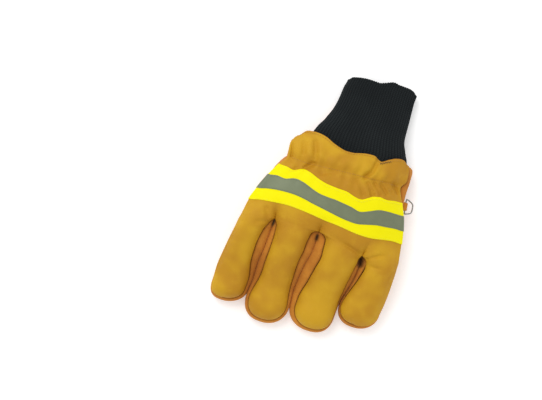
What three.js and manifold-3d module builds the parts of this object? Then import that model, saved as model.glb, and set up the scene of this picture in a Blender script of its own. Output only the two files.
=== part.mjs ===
// Structural firefighting glove for a left hand. It lies palm down with its thumb folded under the palm.
// Millimetres. The fingers point to -Y, the knit cuff to +Y, the back of the hand to +Z and the thumb
// side to -X. Plan places are shares of GLOVE_WIDTH across and of the named lengths along, both
// counted from the knuckle line, where the slots between the fingers end.
import * as THREE from 'three';
import Module from 'manifold-3d';

const wasm = await Module();
wasm.setup();

// Driving dimensions
const GLOVE_WIDTH = 188;
const HAND_LENGTH = 100;
const FINGER_REACH = 112;
const CUFF_LENGTH = 94;
const CUFF_WIDTH = 105;
const CUFF_DEPTH = 26;
const CUFF_WAVE = 2.2;
const TUCK_START = 85;
const THUMB_LENGTH = 122;
const THUMB_WIDTH = 66;
const THUMB_DEPTH = 24;
const BELLY_HEIGHT = 12;
const SEAM_HEIGHT = 19;
const FINGER_CROWN = 13;
const HAND_CROWN = 16;
const LEAST_CROWN = 1;
const LEATHER = 2;
const KNIT = 3;
const RIB_DEPTH = 0.7;
const RIB_COUNT = 36;
const TAPE = 1;
const STRIP = 0.8;
const PATCH_LENGTH = 40;
const PATCH_THICKNESS = 1.6;
const PATCH_SAG = 0.7;
const LIP = 10;
const NOSE_LIP = 3.5;
const LEAST_LIP = 0.5;
const REST_FLAT = 0.6;
const GAP = 0.3;
const RING_WIRE = 1.6;
const RING_REACH = 7.8;
const RING_HEIGHT = 16;
const TAB_WIDTH = 9;
const TAB_LEATHER = 1;

const FINGER_COLUMNS = 7;
const HAND_COLUMNS = 4 * FINGER_COLUMNS;

const COLOURS = {
  leather: 0xc8962a,
  suede: 0xb87428,
  knit: 0x212526,
  tape: 0xf8f010,
  strip: 0x7d8770,
  steel: 0x8d9296,
};

// The four fingers lie between five lines in the plan: the two sides of the glove and the three
// slots. A row for each place along the longest finger, with x as a share of the glove's width.
const FINGER_LINES = [
  { at: 0.00, thumbSide: -0.427, slotOne: -0.238, slotTwo: 0.029, slotThree: 0.312, outerSide: 0.522 },
  { at: 0.08, thumbSide: -0.435, slotOne: -0.240, slotTwo: 0.031, slotThree: 0.314, outerSide: 0.525 },
  { at: 0.16, thumbSide: -0.441, slotOne: -0.241, slotTwo: 0.030, slotThree: 0.320, outerSide: 0.527 },
  { at: 0.30, thumbSide: -0.454, slotOne: -0.245, slotTwo: 0.014, slotThree: 0.315, outerSide: 0.530 },
  { at: 0.45, thumbSide: -0.466, slotOne: -0.252, slotTwo: 0.004, slotThree: 0.298, outerSide: 0.527 },
  { at: 0.60, thumbSide: -0.476, slotOne: -0.250, slotTwo: -0.001, slotThree: 0.281, outerSide: 0.518 },
  { at: 0.75, thumbSide: -0.478, slotOne: -0.258, slotTwo: 0.007, slotThree: 0.278, outerSide: 0.513 },
  { at: 1.00, thumbSide: -0.480, slotOne: -0.266, slotTwo: 0.013, slotThree: 0.282, outerSide: 0.511 },
];
const LINE_NAMES = ['thumbSide', 'slotOne', 'slotTwo', 'slotThree', 'outerSide'];

// Where each line meets the knuckles, as a share of the hand's length.
const KNUCKLES = [0.00, 0.034, 0.045, -0.065, -0.03];

// How each slot opens from its end: a low number is a round end, a high one a pointed end.
const SLOT_POINTS = [1, 1.2, 0.5, 0.8, 1];
const SLOT_OPENING = 0.07;

// Lip: how far the suede of the finger's sides shows beyond the back leather, as a share of LIP,
// at shares of the finger's own length.
const FINGERS = [
  {
    name: 'index_finger_front', length: 0.912, lean: -0.025,
    lips: [
      { at: 0.00, left: 0.00, right: 0.40 },
      { at: 0.06, left: 0.00, right: 0.50 },
      { at: 0.15, left: 0.00, right: 0.85 },
      { at: 0.30, left: 0.00, right: 1.04 },
      { at: 0.50, left: 0.00, right: 0.85 },
      { at: 0.70, left: 0.05, right: 0.50 },
      { at: 1.00, left: 0.30, right: 0.35 },
    ],
  },
  {
    name: 'middle_finger_front', length: 1.0, lean: -0.008,
    lips: [
      { at: 0.00, left: 0.35, right: 0.78 },
      { at: 0.06, left: 0.45, right: 0.85 },
      { at: 0.15, left: 0.58, right: 1.00 },
      { at: 0.30, left: 0.66, right: 0.88 },
      { at: 0.50, left: 0.76, right: 0.62 },
      { at: 0.70, left: 0.46, right: 0.42 },
      { at: 1.00, left: 0.30, right: 0.30 },
    ],
  },
  {
    name: 'ring_finger_front', length: 0.942, lean: 0.010,
    lips: [
      { at: 0.00, left: 0.90, right: 0.25 },
      { at: 0.06, left: 1.00, right: 0.35 },
      { at: 0.15, left: 1.05, right: 0.50 },
      { at: 0.30, left: 1.25, right: 0.57 },
      { at: 0.50, left: 1.12, right: 0.38 },
      { at: 0.70, left: 0.72, right: 0.18 },
      { at: 1.00, left: 0.35, right: 0.25 },
    ],
  },
  {
    name: 'little_finger_front', length: 0.770, lean: -0.010,
    lips: [
      { at: 0.00, left: 0.50, right: 0.05 },
      { at: 0.06, left: 0.60, right: 0.07 },
      { at: 0.15, left: 0.65, right: 0.10 },
      { at: 0.30, left: 0.50, right: 0.15 },
      { at: 0.50, left: 0.28, right: 0.18 },
      { at: 0.70, left: 0.18, right: 0.20 },
      { at: 1.00, left: 0.30, right: 0.30 },
    ],
  },
];

// Lines across the back of the hand, with x as shares of the width, y as shares of the hand's
// length at nine even places from the thumb side to the outer side, and the number of rows
// from the line before. Outline is the outer side of the palm's suede.
const HAND_LINES = [
  { name: 'tapeBottom', rows: 3, left: -0.415, right: 0.506, outline: 0.506,
    y: [0.134, 0.184, 0.200, 0.187, 0.173, 0.150, 0.133, 0.170, 0.177] },
  { name: 'stripBottom', rows: 2, left: -0.398, right: 0.498, outline: 0.498,
    y: [0.284, 0.343, 0.340, 0.297, 0.262, 0.236, 0.270, 0.308, 0.316] },
  { name: 'stripTop', rows: 2, left: -0.370, right: 0.473, outline: 0.474,
    y: [0.440, 0.479, 0.516, 0.455, 0.426, 0.404, 0.414, 0.479, 0.475] },
  { name: 'tapeTop', rows: 2, left: -0.345, right: 0.453, outline: 0.456,
    y: [0.510, 0.596, 0.629, 0.572, 0.557, 0.539, 0.544, 0.603, 0.595] },
  { name: 'elastic', rows: 2, left: -0.276, right: 0.409, outline: 0.454,
    y: [0.717, 0.696, 0.710, 0.723, 0.740, 0.760, 0.764, 0.755, 0.742] },
  { name: 'puff', rows: 2, left: -0.285, right: 0.420, outline: 0.450,
    y: [0.860, 0.870, 0.880, 0.870, 0.860, 0.870, 0.870, 0.880, 0.870] },
  { name: 'wrist', rows: 2, left: -0.265, right: 0.408, outline: 0.430,
    y: [0.977, 1.069, 1.055, 0.984, 0.976, 1.011, 0.972, 1.060, 1.020] },
];
const PALM_WRIST = [0.977, 0.930, 0.925, 0.850, 0.935, 0.960, 0.990, 1.010, 1.020];

// Dents and puffs of the back: the middle of each, its reach along and across its own direction
// (degrees from +X), as shares of the hand's length, and its height as a share of the crown.
const FOLDS = [
  { x: -0.14, y: 0.96, turn: 0, along: 0.22, across: 0.13, height: 0.16 },
  { x: 0.12, y: 0.92, turn: 0, along: 0.16, across: 0.10, height: 0.10 },
  { x: 0.34, y: 0.96, turn: 0, along: 0.14, across: 0.12, height: 0.14 },
  { x: 0.235, y: 0.97, turn: 75, along: 0.12, across: 0.05, height: -0.20 },
  { x: -0.02, y: 0.95, turn: 100, along: 0.14, across: 0.06, height: -0.10 },
  { x: -0.24, y: 0.05, turn: 95, along: 0.12, across: 0.05, height: -0.12 },
  { x: 0.36, y: -0.07, turn: 20, along: 0.12, across: 0.05, height: -0.12 },
];
const VALLEY_DEPTH = 0.26;
const VALLEY_REACH = 0.08;
const GATHER_HEIGHT = 0.10;
const GATHER_REACH = 0.17;
const GATHER_COUNT = 11;

// Sections of the knit cuff, from its tucked end to its open end.
const CUFF_SECTIONS = [
  { at: 0.00, centre: 0.098, half: 0.470, depth: 0.94 },
  { at: 0.20, centre: 0.104, half: 0.495, depth: 1.00 },
  { at: 0.33, centre: 0.104, half: 0.462, depth: 1.00 },
  { at: 0.44, centre: 0.108, half: 0.424, depth: 1.00 },
  { at: 0.60, centre: 0.119, half: 0.400, depth: 0.98 },
  { at: 0.74, centre: 0.124, half: 0.388, depth: 0.97 },
  { at: 0.90, centre: 0.125, half: 0.377, depth: 0.96 },
  { at: 1.00, centre: 0.131, half: 0.375, depth: 0.95 },
];

// Sections of the thumb, from its folded root under the thumb side to its tip.
const THUMB_SECTIONS = [
  { at: 0.00, centre: 0.42, half: 0.36 },
  { at: 0.12, centre: 0.41, half: 0.50 },
  { at: 0.35, centre: 0.35, half: 0.46 },
  { at: 0.60, centre: 0.27, half: 0.36 },
  { at: 0.80, centre: 0.22, half: 0.31 },
  { at: 1.00, centre: 0.21, half: 0.28 },
];
const THUMB_ROOT = -0.345;
const THUMB_HOLE = { x: -0.215, y: 0.40, halfX: 0.090, halfY: 0.215 };

// How far the folded thumb lifts the glove, as shares of its depth: across, and along.
const LIFT_ACROSS = [
  { at: -0.50, share: 1.00 },
  { at: 0.00, share: 1.00 },
  { at: 0.28, share: 0.84 },
  { at: 0.53, share: 0.40 },
];

const clamp = THREE.MathUtils.clamp;
const lerp = THREE.MathUtils.lerp;
const smooth = THREE.MathUtils.smoothstep;

// A smooth value between the rows of a table.
function tableValue(table, at, column) {
  let i = 0;
  while (i < table.length - 2 && at > table[i + 1].at) i += 1;
  const low = table[i];
  const high = table[i + 1];
  const before = table[Math.max(i - 1, 0)];
  const after = table[Math.min(i + 2, table.length - 1)];
  const span = high.at - low.at;
  const t = clamp((at - low.at) / span, 0, 1);
  const step = high[column] - low[column];
  const slopeLow = limitedSlope(low[column] - before[column], low.at - before.at, step, span) * span;
  const slopeHigh = limitedSlope(step, span, after[column] - high[column], after.at - high.at) * span;
  const t2 = t * t;
  const t3 = t2 * t;
  return low[column] * (2 * t3 - 3 * t2 + 1) + slopeLow * (t3 - 2 * t2 + t)
    + high[column] * (3 * t2 - 2 * t3) + slopeHigh * (t3 - t2);
}

function limitedSlope(stepBefore, spanBefore, stepAfter, spanAfter) {
  const before = spanBefore > 0 ? stepBefore / spanBefore : 0;
  const after = spanAfter > 0 ? stepAfter / spanAfter : 0;
  if (before * after <= 0) return 0;
  return 2 * before * after / (before + after);
}

// A straight-line value between evenly placed numbers.
function evenValue(values, share) {
  const place = clamp(share, 0, 1) * (values.length - 1);
  const i = Math.min(Math.floor(place), values.length - 2);
  return lerp(values[i], values[i + 1], place - i);
}

// The height of the palm's underside above the ground.
function lift(x, y) {
  const across = tableValue(LIFT_ACROSS, x / GLOVE_WIDTH, 'share');
  const tips = smooth(y, -0.70 * FINGER_REACH, -0.02 * FINGER_REACH);
  const cuffEnd = TUCK_START + CUFF_LENGTH;
  const wrist = 1 - 0.40 * smooth(y, 0.76 * HAND_LENGTH, 1.04 * HAND_LENGTH);
  const fall = 1 - smooth(y, 0.96 * HAND_LENGTH, 0.93 * cuffEnd);
  return THUMB_DEPTH * across * tips * wrist * fall;
}

function dome(distance) {
  return Math.sqrt(Math.max(0, 1 - Math.pow(Math.min(Math.abs(distance), 1), 2.4)));
}

function lineX(name, y) {
  return GLOVE_WIDTH * tableValue(FINGER_LINES, -y / FINGER_REACH, name);
}

// Sheets: rows of knots, each a point with an optional direction for its rim.
function knot(x, y, z, inward = null, flat = false) {
  return { point: new THREE.Vector3(x, y, z), inward, flat };
}

function sheetMesh(patches) {
  const knots = [];
  const places = new Map();
  const index = (k) => {
    const key = [k.point.x, k.point.y, k.point.z].map((v) => Math.round(v * 2000)).join(' ');
    if (!places.has(key)) {
      places.set(key, knots.length);
      knots.push(k);
    }
    return places.get(key);
  };
  const faces = [];
  const addFace = (a, b, c) => {
    if (a !== b && b !== c && c !== a) faces.push([a, b, c]);
  };
  for (const rows of patches) {
    for (let i = 0; i + 1 < rows.length; i += 1) {
      for (let j = 0; j + 1 < rows[i].length; j += 1) {
        const a = index(rows[i][j]);
        const b = index(rows[i][j + 1]);
        const c = index(rows[i + 1][j + 1]);
        const d = index(rows[i + 1][j]);
        addFace(a, b, c);
        addFace(a, c, d);
      }
    }
  }
  const normals = knots.map(() => new THREE.Vector3());
  for (const [a, b, c] of faces) {
    const side = knots[b].point.clone().sub(knots[a].point);
    const normal = side.cross(knots[c].point.clone().sub(knots[a].point));
    for (const corner of [a, b, c]) normals[corner].add(normal);
  }
  for (const normal of normals) normal.normalize();
  return { knots, faces, normals, index };
}

// A closed wall between a sheet and its copy set back by the thickness.
function thicken(sheet, outerOffset, innerOffset) {
  const count = sheet.knots.length;
  const points = [];
  for (const offset of [outerOffset, innerOffset]) {
    sheet.knots.forEach((k, i) => {
      const way = sheet.normals[i].clone();
      if (k.flat) way.setY(0).normalize();
      if (k.inward) way.copy(k.inward).negate();
      const point = k.point.clone().addScaledVector(way, offset);
      if (k.inward) point.z += lift(point.x, point.y) - lift(k.point.x, k.point.y);
      points.push(point);
    });
  }
  const faces = [];
  const edges = new Map();
  for (const [a, b, c] of sheet.faces) {
    faces.push([a, b, c], [count + c, count + b, count + a]);
    for (const [p, q] of [[a, b], [b, c], [c, a]]) {
      if (edges.has(q + ' ' + p)) edges.delete(q + ' ' + p);
      else edges.set(p + ' ' + q, [p, q]);
    }
  }
  for (const [p, q] of edges.values()) {
    faces.push([q, p, count + p], [q, count + p, count + q]);
  }
  return geometryOf(points, faces);
}

function geometryOf(points, faces) {
  const geometry = new THREE.BufferGeometry();
  geometry.setAttribute('position', new THREE.Float32BufferAttribute(points.flatMap((p) => p.toArray()), 3));
  geometry.setIndex(faces.flat());
  return geometry;
}

// A closed tube of rings, with its two ends fanned shut.
function closedTube(rings) {
  const points = rings.flat();
  const size = rings[0].length;
  const faces = [];
  for (let i = 0; i + 1 < rings.length; i += 1) {
    for (let j = 0; j < size; j += 1) {
      const a = i * size + j;
      const b = i * size + (j + 1) % size;
      faces.push([a, b, b + size], [a, b + size, a + size]);
    }
  }
  for (const [ring, turned] of [[0, true], [rings.length - 1, false]]) {
    const middle = new THREE.Vector3();
    for (const p of rings[ring]) middle.addScaledVector(p, 1 / size);
    points.push(middle);
    for (let j = 0; j < size; j += 1) {
      const a = ring * size + j;
      const b = ring * size + (j + 1) % size;
      faces.push(turned ? [b, a, points.length - 1] : [a, b, points.length - 1]);
    }
  }
  return geometryOf(points, faces);
}

// A closed loop of rings, the last joined to the first.
function closedLoop(rings) {
  const points = rings.flat();
  const size = rings[0].length;
  const faces = [];
  for (let i = 0; i < rings.length; i += 1) {
    const next = (i + 1) % rings.length;
    for (let j = 0; j < size; j += 1) {
      const a = i * size + j;
      const b = i * size + (j + 1) % size;
      const c = next * size + (j + 1) % size;
      const d = next * size + j;
      faces.push([a, c, b], [a, d, c]);
    }
  }
  return geometryOf(points, faces);
}

// Closed meshes to solids and back, for cuts.
function toSolid(geometry) {
  const mesh = new wasm.Mesh({
    numProp: 3,
    vertProperties: new Float32Array(geometry.attributes.position.array),
    triVerts: new Uint32Array(geometry.index.array),
  });
  mesh.merge();
  return new wasm.Manifold(mesh);
}

function toGeometry(solid) {
  const mesh = solid.getMesh();
  const geometry = new THREE.BufferGeometry();
  geometry.setAttribute('position', new THREE.BufferAttribute(mesh.vertProperties, 3));
  geometry.setIndex(new THREE.BufferAttribute(mesh.triVerts, 1));
  return geometry;
}

// Fingers

// Places along one finger: straight rows to the middle of its round nose, then a fan round it.
// Each row has the seam and the widest point on both sides and the keel between them.
const STRAIGHT_ROWS = [0, 0.03, 0.08, 0.16, 0.28, 0.43, 0.62, 0.82, 1];
const FAN_ROWS = [22, 45, 68, 90];
const NOSE_POWER = 2.3;

function fingerRows(k) {
  const finger = FINGERS[k];
  const length = finger.length * FINGER_REACH;
  const leftLine = LINE_NAMES[k];
  const rightLine = LINE_NAMES[k + 1];
  const tip = -length;
  const half = (lineX(rightLine, tip) - lineX(leftLine, tip)) / 2;
  const noseY = tip + half * 0.98;
  const sideAt = (y, side) => {
    const line = side < 0 ? leftLine : rightLine;
    return lineX(line, y) - side * GAP;
  };
  const lipAt = (y, side) => {
    const opened = 1 - Math.pow(1 - Math.min(1, y / tip / SLOT_OPENING), 2);
    const opening = Math.pow(opened, SLOT_POINTS[side < 0 ? k : k + 1]);
    return LIP * opening * tableValue(finger.lips, y / tip, side < 0 ? 'left' : 'right');
  };
  const rows = [];
  for (const share of STRAIGHT_ROWS) {
    const yOf = (side) => {
      const base = HAND_LENGTH * KNUCKLES[k + (side < 0 ? 0 : 1)];
      return lerp(base, noseY, share);
    };
    const row = { flat: share === 0 };
    for (const side of [-1, 1]) {
      const y = yOf(side);
      const wide = new THREE.Vector2(sideAt(y, side), y);
      const seam = new THREE.Vector2(wide.x - side * lipAt(share * noseY, side), y);
      row[side < 0 ? 'left' : 'right'] = { wide, seam };
    }
    row.keel = row.left.wide.clone().lerp(row.right.wide, 0.5);
    rows.push(row);
  }
  const last = rows[rows.length - 1];
  const seamNose = noseY - tip - NOSE_LIP;
  for (const degrees of FAN_ROWS) {
    const turn = THREE.MathUtils.degToRad(degrees);
    const out = degrees === 90 ? 0 : Math.pow(Math.cos(turn), 2 / NOSE_POWER);
    const ahead = Math.pow(Math.sin(turn), 2 / NOSE_POWER);
    const lean = finger.lean * GLOVE_WIDTH * ahead * ahead;
    const keel = last.keel.clone();
    const row = { flat: false, keel };
    for (const name of ['left', 'right']) {
      const wide = new THREE.Vector2(
        keel.x + lean + (last[name].wide.x - keel.x) * out,
        noseY - (noseY - tip) * ahead,
      );
      const seam = new THREE.Vector2(
        keel.x + lean + (last[name].seam.x - keel.x) * out,
        noseY - seamNose * ahead,
      );
      row[name] = { wide, seam };
    }
    rows.push(row);
  }
  return { rows, noseY, seamNose };
}

const fingerPlans = FINGERS.map((finger, k) => fingerRows(k));

// The front of a finger is a suede trough: two sides, a rounded underside and a closed nose.
const SHOULDER_STEPS = 2;
const BELLY_STEPS = 4;

function troughHalf(row, side, boxiness) {
  const half = side < 0 ? row.left : row.right;
  const knots = [];
  const inwardPlan = row.keel.clone().sub(half.seam).normalize();
  const inward = row.flat || Math.abs(inwardPlan.x) > 0.8
    ? new THREE.Vector3(-side, 0, 0)
    : new THREE.Vector3(inwardPlan.x, inwardPlan.y, 0);
  for (let i = 0; i <= SHOULDER_STEPS; i += 1) {
    const turn = Math.PI / 2 * i / SHOULDER_STEPS;
    const plan = half.seam.clone().lerp(half.wide, Math.sin(turn));
    const z = lerp(BELLY_HEIGHT, SEAM_HEIGHT, Math.cos(turn));
    knots.push(knot(plan.x, plan.y, z + lift(plan.x, plan.y), i === 0 ? inward : null, row.flat));
  }
  for (let i = 1; i <= BELLY_STEPS; i += 1) {
    const turn = Math.PI / 2 * i / BELLY_STEPS;
    const out = i === BELLY_STEPS ? 0 : Math.pow(Math.cos(turn), 2 / boxiness);
    const plan = row.keel.clone().lerp(half.wide, out);
    const sink = BELLY_HEIGHT * Math.pow(Math.sin(turn), 2 / boxiness);
    const z = Math.max(0, BELLY_HEIGHT - sink - REST_FLAT);
    knots.push(knot(plan.x, plan.y, z + lift(plan.x, plan.y), null, row.flat));
  }
  return knots;
}

function fingerFront(plan) {
  const grid = plan.rows.map((row, i) => {
    const boxiness = lerp(4, 2.5, Math.min(1, i / 5));
    const left = troughHalf(row, -1, boxiness);
    const right = troughHalf(row, 1, boxiness);
    return [...left, ...right.slice(0, -1).reverse()];
  });
  return thicken(sheetMesh([grid]), 0, -LEATHER);
}

// Back panel

// The back panel's columns across a finger, closer together at its seams.
const columnTurns = Array.from({ length: FINGER_COLUMNS + 1 }, (_, j) => -Math.cos(Math.PI * j / FINGER_COLUMNS));
const evenTurns = columnTurns.map((turn, j) => lerp(turn, 2 * j / FINGER_COLUMNS - 1, 0.35));

function fingerBackRows(plan) {
  const seamZ = SEAM_HEIGHT + GAP;
  return plan.rows.map((row) => evenTurns.map((turn, j) => {
    const t = (turn + 1) / 2;
    const place = row.left.seam.clone().lerp(row.right.seam, t);
    const ahead = clamp((plan.noseY - place.y) / plan.seamNose, 0, 1);
    const halfRow = row.right.seam.x - row.left.seam.x;
    const across = turn * Math.pow(1 - Math.pow(ahead, NOSE_POWER), 1 / NOSE_POWER);
    const away = Math.pow(Math.pow(Math.abs(across), NOSE_POWER) + Math.pow(ahead, NOSE_POWER), 1 / NOSE_POWER);
    const z = seamZ + FINGER_CROWN * dome(away);
    const edge = j === 0 || j === FINGER_COLUMNS || halfRow < 0.01;
    let inward = null;
    if (edge) {
      const way = row.keel.clone().sub(place).normalize();
      inward = row.flat || Math.abs(way.x) > 0.8
        ? new THREE.Vector3(-Math.sign(turn), 0, 0)
        : new THREE.Vector3(way.x, way.y, 0);
    }
    return knot(place.x, place.y, z + lift(place.x, place.y), inward);
  }));
}

const fingerBacks = fingerPlans.map(fingerBackRows);

// The knuckle row joins the first rows of the four fingers; a slot's end is one shared knot.
function knuckleRow() {
  const row = [];
  fingerBacks.forEach((rows, k) => {
    const first = rows[0];
    if (k > 0) {
      const shared = row[row.length - 1];
      const y = HAND_LENGTH * KNUCKLES[k];
      const x = (shared.point.x + first[0].point.x) / 2;
      const z = SEAM_HEIGHT + GAP + lift(x, y);
      const slotEnd = knot(x, y, z, new THREE.Vector3(0, 1, 0));
      row[row.length - 1] = slotEnd;
      fingerBacks[k - 1][0][FINGER_COLUMNS] = slotEnd;
      first[0] = slotEnd;
    }
    row.push(...first.slice(k > 0 ? 1 : 0));
  });
  return row;
}

const knuckles = knuckleRow();
const firstX = knuckles[0].point.x;
const lastX = knuckles[HAND_COLUMNS].point.x;
const knuckleShares = knuckles.map((k) => (k.point.x - firstX) / (lastX - firstX));
const knuckleHeights = knuckles.map((k) => k.point.z - lift(k.point.x, k.point.y) - SEAM_HEIGHT - GAP);

function handShare(column, settled) {
  const even = column / HAND_COLUMNS;
  const relaxed = even - 0.04 * Math.sin(2 * Math.PI * even);
  return lerp(knuckleShares[column], relaxed, settled);
}

function foldHeight(x, y) {
  let height = 0;
  for (const fold of FOLDS) {
    const turn = THREE.MathUtils.degToRad(fold.turn);
    const dx = x - fold.x * GLOVE_WIDTH;
    const dy = y - fold.y * HAND_LENGTH;
    const along = (dx * Math.cos(turn) + dy * Math.sin(turn)) / (fold.along * HAND_LENGTH);
    const across = (dy * Math.cos(turn) - dx * Math.sin(turn)) / (fold.across * HAND_LENGTH);
    height += fold.height * Math.exp(-along * along - across * across);
  }
  return height;
}

// The elastic inside the wrist draws a valley across the back, with gathers above and below it.
function gatherHeight(share, y) {
  const elastic = HAND_LINES.find((line) => line.name === 'elastic');
  const off = y / HAND_LENGTH - evenValue(elastic.y, share);
  const valley = VALLEY_DEPTH * Math.exp(-Math.pow(off / VALLEY_REACH, 2));
  const gather = Math.cos(2 * Math.PI * GATHER_COUNT * share + 1.1 * Math.sin(9 * share));
  return GATHER_HEIGHT * gather * Math.exp(-Math.pow(off / GATHER_REACH, 2)) - valley;
}

function backHeight(column, share, x, y) {
  const away = 2 * share - 1;
  const knuckleAway = clamp((y - KNUCKLES[2] * HAND_LENGTH) / (0.27 * HAND_LENGTH), 0, 1);
  const opened = 1 - Math.pow(1 - knuckleAway, 2);
  const edge = Math.sqrt(dome(away));
  const hand = HAND_CROWN * (dome(away) + edge * (gatherHeight(share, y) + foldHeight(x, y)));
  return lerp(knuckleHeights[column], hand, opened);
}

function handRows() {
  const rows = [knuckles];
  let before = {
    left: firstX / GLOVE_WIDTH,
    right: lastX / GLOVE_WIDTH,
    yAt: (column) => knuckles[column].point.y,
    settled: 0,
  };
  HAND_LINES.forEach((line, n) => {
    const settled = Math.min(1, (n + 1) / 2);
    const yAt = (column) => HAND_LENGTH * evenValue(line.y, handShare(column, settled));
    for (let i = 1; i <= line.rows; i += 1) {
      const t = i / line.rows;
      const left = GLOVE_WIDTH * lerp(before.left, line.left, t);
      const right = GLOVE_WIDTH * lerp(before.right, line.right, t);
      const atWrist = line.name === 'wrist' && i === line.rows;
      const row = [];
      for (let column = 0; column <= HAND_COLUMNS; column += 1) {
        const share = handShare(column, lerp(before.settled, settled, t));
        const x = lerp(left, right, share);
        const y = lerp(before.yAt(column), yAt(column), t);
        const height = backHeight(column, share, x, y);
        const side = column === 0 ? 1 : column === HAND_COLUMNS ? -1 : 0;
        const z = SEAM_HEIGHT + GAP + (side ? 0 : Math.max(height, LEAST_CROWN)) + lift(x, y);
        row.push(knot(x, y, z, side ? new THREE.Vector3(side, 0, 0) : null, atWrist));
      }
      row.outline = GLOVE_WIDTH * lerp(before.outline ?? before.right, line.outline, t);
      rows.push(row);
    }
    before = { left: line.left, right: line.right, outline: line.outline, yAt, settled };
  });
  return rows;
}

const handBack = handRows();
const backSheet = sheetMesh([...fingerBacks.map((rows) => [...rows].reverse()), handBack]);

// Reflective layers lie on the back from seam to seam, between two of its lines.
function lineRow(name) {
  let row = 0;
  for (const line of HAND_LINES) {
    row += line.rows;
    if (line.name === name) return row;
  }
  return row;
}

function bandSheet(from, to) {
  const rows = handBack.slice(lineRow(from), lineRow(to) + 1);
  const sheet = sheetMesh([rows]);
  sheet.normals = sheet.knots.map((k) => backSheet.normals[backSheet.index(k)]);
  sheet.knots = sheet.knots.map((k) => ({ ...k, flat: false }));
  return sheet;
}

// Palm panel: a suede trough from seam to seam under the hand, cut open for the thumb.
const PALM_COLUMNS = [0, 1, 2, 4, 5, 7, 9, 12, 14, 16, 19, 21, 23, 24, 26, 27, 28];
const PALM_BOXINESS = 5;

function palmRows() {
  const chosen = handBack.map((row, r) => r).filter((r) => r === 0 || r % 2 === 1);
  return chosen.map((r) => {
    const rimLeft = handBack[r][0].point;
    const rimRight = handBack[r][HAND_COLUMNS].point;
    const outline = handBack[r].outline ?? rimRight.x;
    const first = r === 0;
    const last = r === handBack.length - 1;
    const flat = first || last;
    const nudge = first ? GAP : 0;
    const knots = [];
    const add = (x, y, z, inward = null) => knots.push(knot(x, y + nudge, z + lift(x, y), inward, flat));
    add(rimLeft.x, rimLeft.y, SEAM_HEIGHT, new THREE.Vector3(1, 0, 0));
    for (const column of PALM_COLUMNS) {
      const share = first ? knuckleShares[column] : handShare(column, Math.min(1, r / 5));
      const x = lerp(rimLeft.x, outline, share);
      const straight = lerp(rimLeft.y, rimRight.y, share);
      const knuckleOff = knuckles[column].point.y - lerp(knuckles[0].point.y, knuckles[HAND_COLUMNS].point.y, share);
      const wristOff = HAND_LENGTH * evenValue(PALM_WRIST, share) - straight;
      const toWrist = smooth(r, 11, 15);
      const y = straight + knuckleOff * (1 - smooth(r, 0, 5)) + wristOff * (last ? 1 : toWrist);
      const away = Math.pow(Math.abs(2 * share - 1), PALM_BOXINESS);
      const rise = BELLY_HEIGHT * (1 - Math.pow(Math.max(0, 1 - away), 1 / PALM_BOXINESS));
      add(x, y, Math.max(0, rise - REST_FLAT * (away < 0.999 ? 1 : 0)));
    }
    const lip = outline - rimRight.x;
    if (lip > LEAST_LIP) add(rimRight.x + 0.7 * lip, rimRight.y, lerp(BELLY_HEIGHT, SEAM_HEIGHT, 0.7));
    else add(outline, rimRight.y, lerp(BELLY_HEIGHT, SEAM_HEIGHT, 0.5));
    add(rimRight.x, rimRight.y, SEAM_HEIGHT, new THREE.Vector3(-1, 0, 0));
    return knots;
  });
}

const palmGrid = palmRows();

function thumbHoleCutter(grow, low, high) {
  const steps = 20;
  const ring = (z) => Array.from({ length: steps }, (_, i) => {
    const turn = 2 * Math.PI * i / steps;
    return new THREE.Vector3(
      THUMB_HOLE.x * GLOVE_WIDTH + (THUMB_HOLE.halfX * GLOVE_WIDTH + grow) * Math.cos(turn),
      THUMB_HOLE.y * HAND_LENGTH + (THUMB_HOLE.halfY * HAND_LENGTH + grow) * Math.sin(turn),
      z,
    );
  });
  return toSolid(closedTube([ring(low), ring(high)]));
}

function palmPanel() {
  const wall = toSolid(thicken(sheetMesh([[...palmGrid].reverse()]), 0, -LEATHER));
  return toGeometry(wall.subtract(thumbHoleCutter(0, THUMB_DEPTH / 2, THUMB_DEPTH * 1.5)));
}

// Thumb: a flattened closed bag under the palm, open at the top of its root into the hand.
function thumbRings(inset) {
  const steps = 20;
  const shares = [0, 0.012, 0.05, 0.12, 0.24, 0.38, 0.52, 0.66, 0.78, 0.88, 0.95, 0.988, 1];
  const rounding = (share) => {
    const nose = 0.13;
    const near = Math.min(share, 1 - share);
    if (near >= nose) return 1;
    return Math.pow(Math.max(0.004, 1 - Math.pow(1 - near / nose, 2.2)), 1 / 2.2);
  };
  return shares.map((share) => {
    const round = rounding(share);
    const section = (column) => THUMB_WIDTH * tableValue(THUMB_SECTIONS, share, column);
    const x = THUMB_ROOT * GLOVE_WIDTH + inset + share * (THUMB_LENGTH - 2 * inset);
    const centre = HAND_LENGTH * tableValue(THUMB_SECTIONS, share, 'centre');
    const halfWidth = (section('half') - inset) * round;
    return Array.from({ length: steps }, (_, i) => {
      const turn = 2 * Math.PI * (i + 0.5) / steps;
      const soft = (v) => Math.sign(v) * Math.pow(Math.abs(v), 2 / 2.8);
      const y = centre + halfWidth * soft(Math.cos(turn));
      const roof = lift(x, y) - GAP;
      const middle = 0.45 * roof;
      const up = soft(Math.sin(turn)) * round;
      const reach = up > 0 ? roof - middle : middle;
      const z = middle + up * (reach - inset) * lerp(0.35, 1, round);
      return new THREE.Vector3(x, y, Math.max(z, inset > 0 ? inset : REST_FLAT) - (inset > 0 ? 0 : REST_FLAT));
    });
  });
}

function thumb() {
  const outer = toSolid(closedTube(thumbRings(0)));
  const inner = toSolid(closedTube(thumbRings(LEATHER)));
  const hole = thumbHoleCutter(-LEATHER, THUMB_DEPTH / 2, THUMB_DEPTH * 1.5);
  return toGeometry(outer.subtract(inner).subtract(hole));
}

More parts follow.
